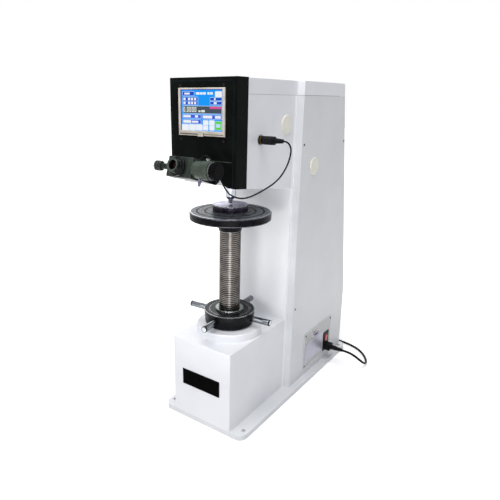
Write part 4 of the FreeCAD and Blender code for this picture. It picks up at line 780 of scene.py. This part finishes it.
def axisX(x=0.0, y=0.0, z=0.0):              # a shape's own Z becomes +X
    return Matrix.Translation((x, y, z)) @ Matrix.Rotation(math.pi / 2, 4, "Y")


eyeFrame = Matrix.Translation(eyeCenter) @ Euler(aboutEye).to_matrix().to_4x4()
crossFrame = axisX(*eyeCenter)

# eyepiece: turned barrel with its end ring, the knurls of knob, drum and housing, and the drum's marks

eyepieceTube = {                             # outlines along the tilted axis: (along, radius)
    "barrel": [(0.0202, 0.0090), (0.0202, 0.0200), (0.0246, 0.0203), (0.0252, 0.0196), (0.0254, 0.0172),
               (0.0290, 0.0162), (0.0296, 0.0150), (0.0302, 0.0150), (0.0308, 0.0156), (0.0352, 0.0152),
               (0.0358, 0.0140), (0.0372, 0.0142), (0.0386, 0.0134), (0.0388, 0.0122), (0.0370, 0.0104),
               (0.0340, 0.0092), (0.0300, 0.0088)],
    "endRing": [(0.0374, 0.0100), (0.0388, 0.0118), (0.0391, 0.0132), (0.0386, 0.0139), (0.0378, 0.0139)],
    "sides": 64,
}
knurlSetup = {"sunk": 0.0006, "rounding": 0.00025}       # how far a ridge goes into its knob, and its soft edges
knobKnurl = {"count": 28, "radius": 0.0103, "low": -0.0785, "high": -0.0665, "depth": 0.0007, "width": 0.0013}
drumKnurl = {"count": 48, "radius": 0.0175, "low": 0.0835, "high": 0.0915, "depth": 0.0006, "width": 0.0011}
ringKnurl = {"count": 40, "radius": 0.0195, "low": 0.0640, "high": 0.0725, "depth": 0.0005, "width": 0.0014}
drumMarks = {"count": 50, "radius": 0.01756, "low": 0.0748, "high": 0.0778, "depth": 0.0001, "width": 0.00035}


def ridgeMesh(setup, sunk=0.0, rounding=0.0):     # one ridge beside the axis, to be repeated round it
    radius, half = setup["radius"], setup["width"] / 2
    low, high = (radius - sunk, -half, setup["low"]), (radius + setup["depth"], half, setup["high"])
    return boxMesh(low, high, rounding, 1)


def makeEyepiece():
    for title, outline, finish, replaced in (("eyepieceTube", "barrel", "barrelAlloy", ["eyepiece_barrel"]),
                                             ("eyepieceRing", "endRing", "ringGrey", [])):
        tube = moved(latheMesh(eyepieceTube[outline], eyepieceTube["sides"]), eyeFrame)
        meshPiece(title, tube, finish, "eyepiece", "grey_alloy", *replaced)
    for title, setup, shape, finish, body, slotName in (
            ("knobRidges", knobKnurl, knurlSetup, "knobAlloy", "reading_knob", "grey_alloy"),
            ("drumRidges", drumKnurl, knurlSetup, "drumBlack", "drum", "black_plastic"),
            ("ringRidges", ringKnurl, knurlSetup, "turnedAlloy", "frame", "grey_alloy"),
            ("drumMarks", drumMarks, {}, "markWhite", "drum", "cream_plastic")):
        repeated(title, ridgeMesh(setup, **shape), finish, body, slotName, crossFrame, setup["count"],
                 turn=fullTurn / setup["count"])


makeEyepiece()
print("eyepiece dressed")

# electrics: serial port, ribs of the strain relief and the cable's plug, painted highlights along the borders of the
# access panel and data plate

portSetup = {
    "face": 0.110, "y": 0.289, "z": 0.1295,
    "flange": (0.0012, 0.040, 0.013), "shell": (0.0060, 0.026, 0.0100), "insert": (0.0050, 0.0242, 0.0082),
    "wall": 0.0009, "edge": 0.0004, "pinPitch": 0.00277, "pinSize": 0.0011, "pinReach": 0.0002,
    "pinRows": {"portPinsHigh": (5, 0.0014), "portPinsLow": (4, -0.0014)},       # pins, height from the middle
    "post": [(0, 0.0012), (0, 0.0026), (0.0056, 0.0026), (0.0056, 0.0012)], "postSides": 6, "postSmooth": 20,
    "postOff": 0.0165,
}
ribSetup = {                                 # rings along the strain relief and round the cable's plug
    "reliefRibs": {"count": 8, "place": (0.1385, 0.370, 0.056), "rise": 0.0038, "radius": 0.0074, "width": 0.0022,
                   "inner": 0.7, "swell": 1.04, "shrink": 0.045, "sides": 32},
    "plugRibs": {"count": 7, "place": (0.1010, -0.013, 0.713), "rise": 0.0030, "radius": 0.0092, "width": 0.0014,
                 "inner": 0.8, "swell": 1.03, "shrink": 0.0, "sides": 32},
}
plugRing = {"place": (0.0920, -0.013, 0.713),
            "outline": [(0, 0.0080), (0, 0.0093), (0.0020, 0.0093), (0.0020, 0.0080)], "sides": 32}
plateHole = {"place": (0.1110, 0.2375, 0.1065), "outline": [(0, 0), (0, 0.0012), (0.0004, 0.0012), (0.0004, 0)],
             "sides": 24}
borders = {                                  # thin light borders, painted highlights along the edges: back and front, low corner, high corner, width, slot
    "panelBorderHighlight": ((0.1097, 0.1103), (0.2262, 0.0372), (0.4018, 0.1468), 0.0011, "cream_paint"),
    "plateBorderHighlight": ((0.1110, 0.1115), (0.2325, 0.0535), (0.3455, 0.1125), 0.0009, "grey_plate"),
}


def frameMesh(depths, low, high, width):     # a thin raised border in the YZ plane
    shape = bmesh.new()
    rings = []
    for x in depths:
        for inset in (0, width):
            a, b, c, d = low[0] + inset, low[1] + inset, high[0] - inset, high[1] - inset
            rings.append([shape.verts.new((x, y, z)) for y, z in ((a, b), (c, b), (c, d), (a, d))])
    outLow, inLow, outHigh, inHigh = rings
    for first, second in ((outLow, outHigh), (outHigh, inHigh), (inHigh, inLow), (inLow, outLow)):
        for side in range(4):
            beside = (side + 1) % 4
            shape.faces.new((first[side], first[beside], second[beside], second[side]))
    return closeMesh(shape)


def makePort():
    setup = portSetup
    x, y, z = setup["face"], setup["y"], setup["z"]
    corners = {}
    for part in ("flange", "shell", "insert"):
        deep, wide, tall = setup[part]
        corners[part] = (x, y - wide / 2, z - tall / 2), (x + deep, y + wide / 2, z + tall / 2)
    meshPiece("portFlange", boxMesh(*corners["flange"], setup["edge"]), "portMetal", "frame", "bright_steel",
              "serial_port")
    low, high = corners["shell"]
    meshPiece("portShell", frameMesh((low[0], high[0]), low[1:], high[1:], setup["wall"]), "portMetal", "frame",
              "bright_steel")
    meshPiece("portInsert", boxMesh(*corners["insert"]), "bluePlastic", "frame", "blue_plastic")
    half, pitch = setup["pinSize"] / 2, setup["pinPitch"]
    for title, (count, level) in setup["pinRows"].items():
        start = (x + setup["insert"][0], y - pitch * (count - 1) / 2, z + level)
        row = Matrix.Translation(start) @ Matrix.Rotation(-math.pi / 2, 4, "X")
        pin = boxMesh((-half, -half, 0), (half, half, setup["pinReach"]))
        repeated(title, pin, "blackPlastic", "frame", "black_plastic", row, count, rise=pitch)
    post = latheMesh(setup["post"], setup["postSides"], setup["postSmooth"])
    post = moved(post, Matrix.Translation((setup["postOff"], 0, 0)))
    aim = axisX(x, y, z) @ Matrix.Rotation(math.pi / 2, 4, "Z")
    repeated("portPosts", post, "portMetal", "frame", "bright_steel", aim, 2, turn=math.pi)


def turnedPiece(title, setup, finish, slotName):
    disc = moved(latheMesh(setup["outline"], setup["sides"]), axisX(*setup["place"]))
    meshPiece(title, disc, finish, "frame", slotName)


def makeRibs():
    for title, setup in ribSetup.items():
        low, top, wide = setup["radius"] * setup["inner"], setup["radius"], setup["width"]
        outline = [(0, low), (0, top), (wide / 2, top * setup["swell"]), (wide, top), (wide, low)]
        repeated(title, latheMesh(outline, setup["sides"]), "blackPlastic", "frame", "black_plastic",
                 axisX(*setup["place"]), setup["count"], rise=setup["rise"], shrink=setup["shrink"])
    turnedPiece("plugRing", plugRing, "brassTip", "bright_steel")


def makePlateTrim():
    turnedPiece("plateDot", plateHole, "markWhite", "grey_plate")
    for title, (depths, low, high, width, slotName) in borders.items():
        meshPiece(title, frameMesh(depths, low, high, width), "markWhite", "frame", slotName)


makePort()
makeRibs()
makePlateTrim()
print("electrics dressed")

# trim: anvil groove rings of painted shade, rings of painted highlight on anvil, block and wheel, spoke sleeves and
# caps, cap seams with painted shadow, bezel sill with painted shade and highlight

trimRings = {                                # inner and outer radius, low and high, finish, body, slot
    # near-black rings over the anvil's grooves: painted shade where the grooves lie in shadow
    "anvilGrooveShadeA": (0.0601, 0.0641, 0.5394, 0.54006, "grooveDark", "lift", "black_steel"),
    "anvilGrooveShadeB": (0.0801, 0.0841, 0.5394, 0.54006, "grooveDark", "lift", "black_steel"),
    # pale rings on the top edges of anvil and block and on the wheel's top: painted highlights
    "anvilRimHighlight": (0.0968, 0.0986, 0.5394, 0.54006, "paleSteel", "lift", "black_steel"),
    "blockRimHighlight": (0.0418, 0.0426, 0.5564, 0.55706, "markWhite", "lift", "polished_steel"),
    "wheelLineHighlight": (0.0508, 0.0518, 0.2822, 0.2829, "nutSteel", "wheel", "black_steel"),
    "wheelRimHighlight": (0.0636, 0.0646, 0.28345, 0.28405, "nutSteel", "wheel", "black_steel"),
}
ringSides = 96
anvilHub = {"outline": [(0.4915, 0.0272), (0.4915, 0.0280), (0.4960, 0.0290), (0.5080, 0.0340), (0.5212, 0.0450),
                        (0.5212, 0.0272)], "sides": 64}
spokeSetup = {"count": 4, "level": 0.2695, "turn": math.radians(5), "sides": 32}
spokeParts = {                               # finish, slot and outline along the spoke: (along, radius)
    "spokeSleeve": ("chrome", "chrome", [(0.0585, 0.0050), (0.0585, 0.0076), (0.0595, 0.0080), (0.1140, 0.0080),
                                         (0.1150, 0.0076), (0.1150, 0.0050)]),
    "spokeCap": ("blackPlastic", "black_plastic", [(0.1150, 0.0040), (0.1150, 0.0078), (0.1180, 0.0079),
                                                   (0.1187, 0.0074), (0.1187, 0.0040)]),
    "spokeCapFace": ("paleSteel", "chrome", [(0.1175, 0.0), (0.1175, 0.0064), (0.1190, 0.0062), (0.1190, 0.0)]),
}
capSkirtShadows = {                                 # thin dark lines at the seam under the top cap's skirt, a painted shadow, right and left: low and high corner
    "AB": ((0.1079, 0.1464, 0.8082), (0.10815, 0.3450, 0.8091)),
    "CD": ((0.0889, -0.0620, 0.8083), (0.08912, 0.1464, 0.8089)),
    "EF": ((0.0892, 0.14625, 0.8082), (0.1079, 0.1466, 0.8091)),
}
sillSetup = {                                # boxes as low corner, high corner, finish
    "sillRail": ((-0.0575, -0.1123, 0.7296), (0.0575, -0.1100, 0.7330), "bezelSilver"),
    # dark strips in the sill's groove: painted shade
    "sillGrooveShadeLeft": ((-0.0600, -0.1121, 0.7246), (-0.0085, -0.1115, 0.7272), "lipShade"),
    "sillGrooveShadeRight": ((0.0085, -0.1121, 0.7254), (0.0600, -0.1115, 0.7268), "lipShade"),
    # a lighter line along the hatch's lip: painted highlight
    "hatchLipHighlight": ((0.0300, -0.10885, 0.6704), (0.0800, -0.1085, 0.6717), "ringGrey"),
    "latchShade": ((-0.0078, -0.1120, 0.7214), (0.0078, -0.1116, 0.7290), "lipShade"),
}
sillRounding = 0.0002


def makeTrim():
    for title, (inner, outer, low, high, *look) in trimRings.items():
        outline = [(low, inner), (high, inner), (high, outer), (low, outer)]
        meshPiece(title, latheMesh(outline, ringSides), *look)
    count, sides, aim = spokeSetup["count"], spokeSetup["sides"], axisX(z=spokeSetup["level"])
    start = Matrix.Rotation(spokeSetup["turn"], 4, "Z")
    for title, (finish, slotName, outline) in spokeParts.items():
        repeated(title, moved(latheMesh(outline, sides), aim), finish, "wheel", slotName, start, count,
                 turn=fullTurn / count)
    hub = latheMesh(anvilHub["outline"], anvilHub["sides"])
    meshPiece("anvilHub", hub, "anvilSteel", "lift", "black_steel")
    for letters, (low, high) in capSkirtShadows.items():
        for letter, ends in zip(letters, ((low[0], high[0]), (-high[0], -low[0]))):
            seam = boxMesh((ends[0], *low[1:]), (ends[1], *high[1:]))
            meshPiece("capSkirtShadow" + letter, seam, "seamShade", "frame", "cream_paint")
    for title, (low, high, finish) in sillSetup.items():
        meshPiece(title, boxMesh(low, high, sillRounding, 1), finish, "frame", "bezel_silver")


makeTrim()
print("trim added")
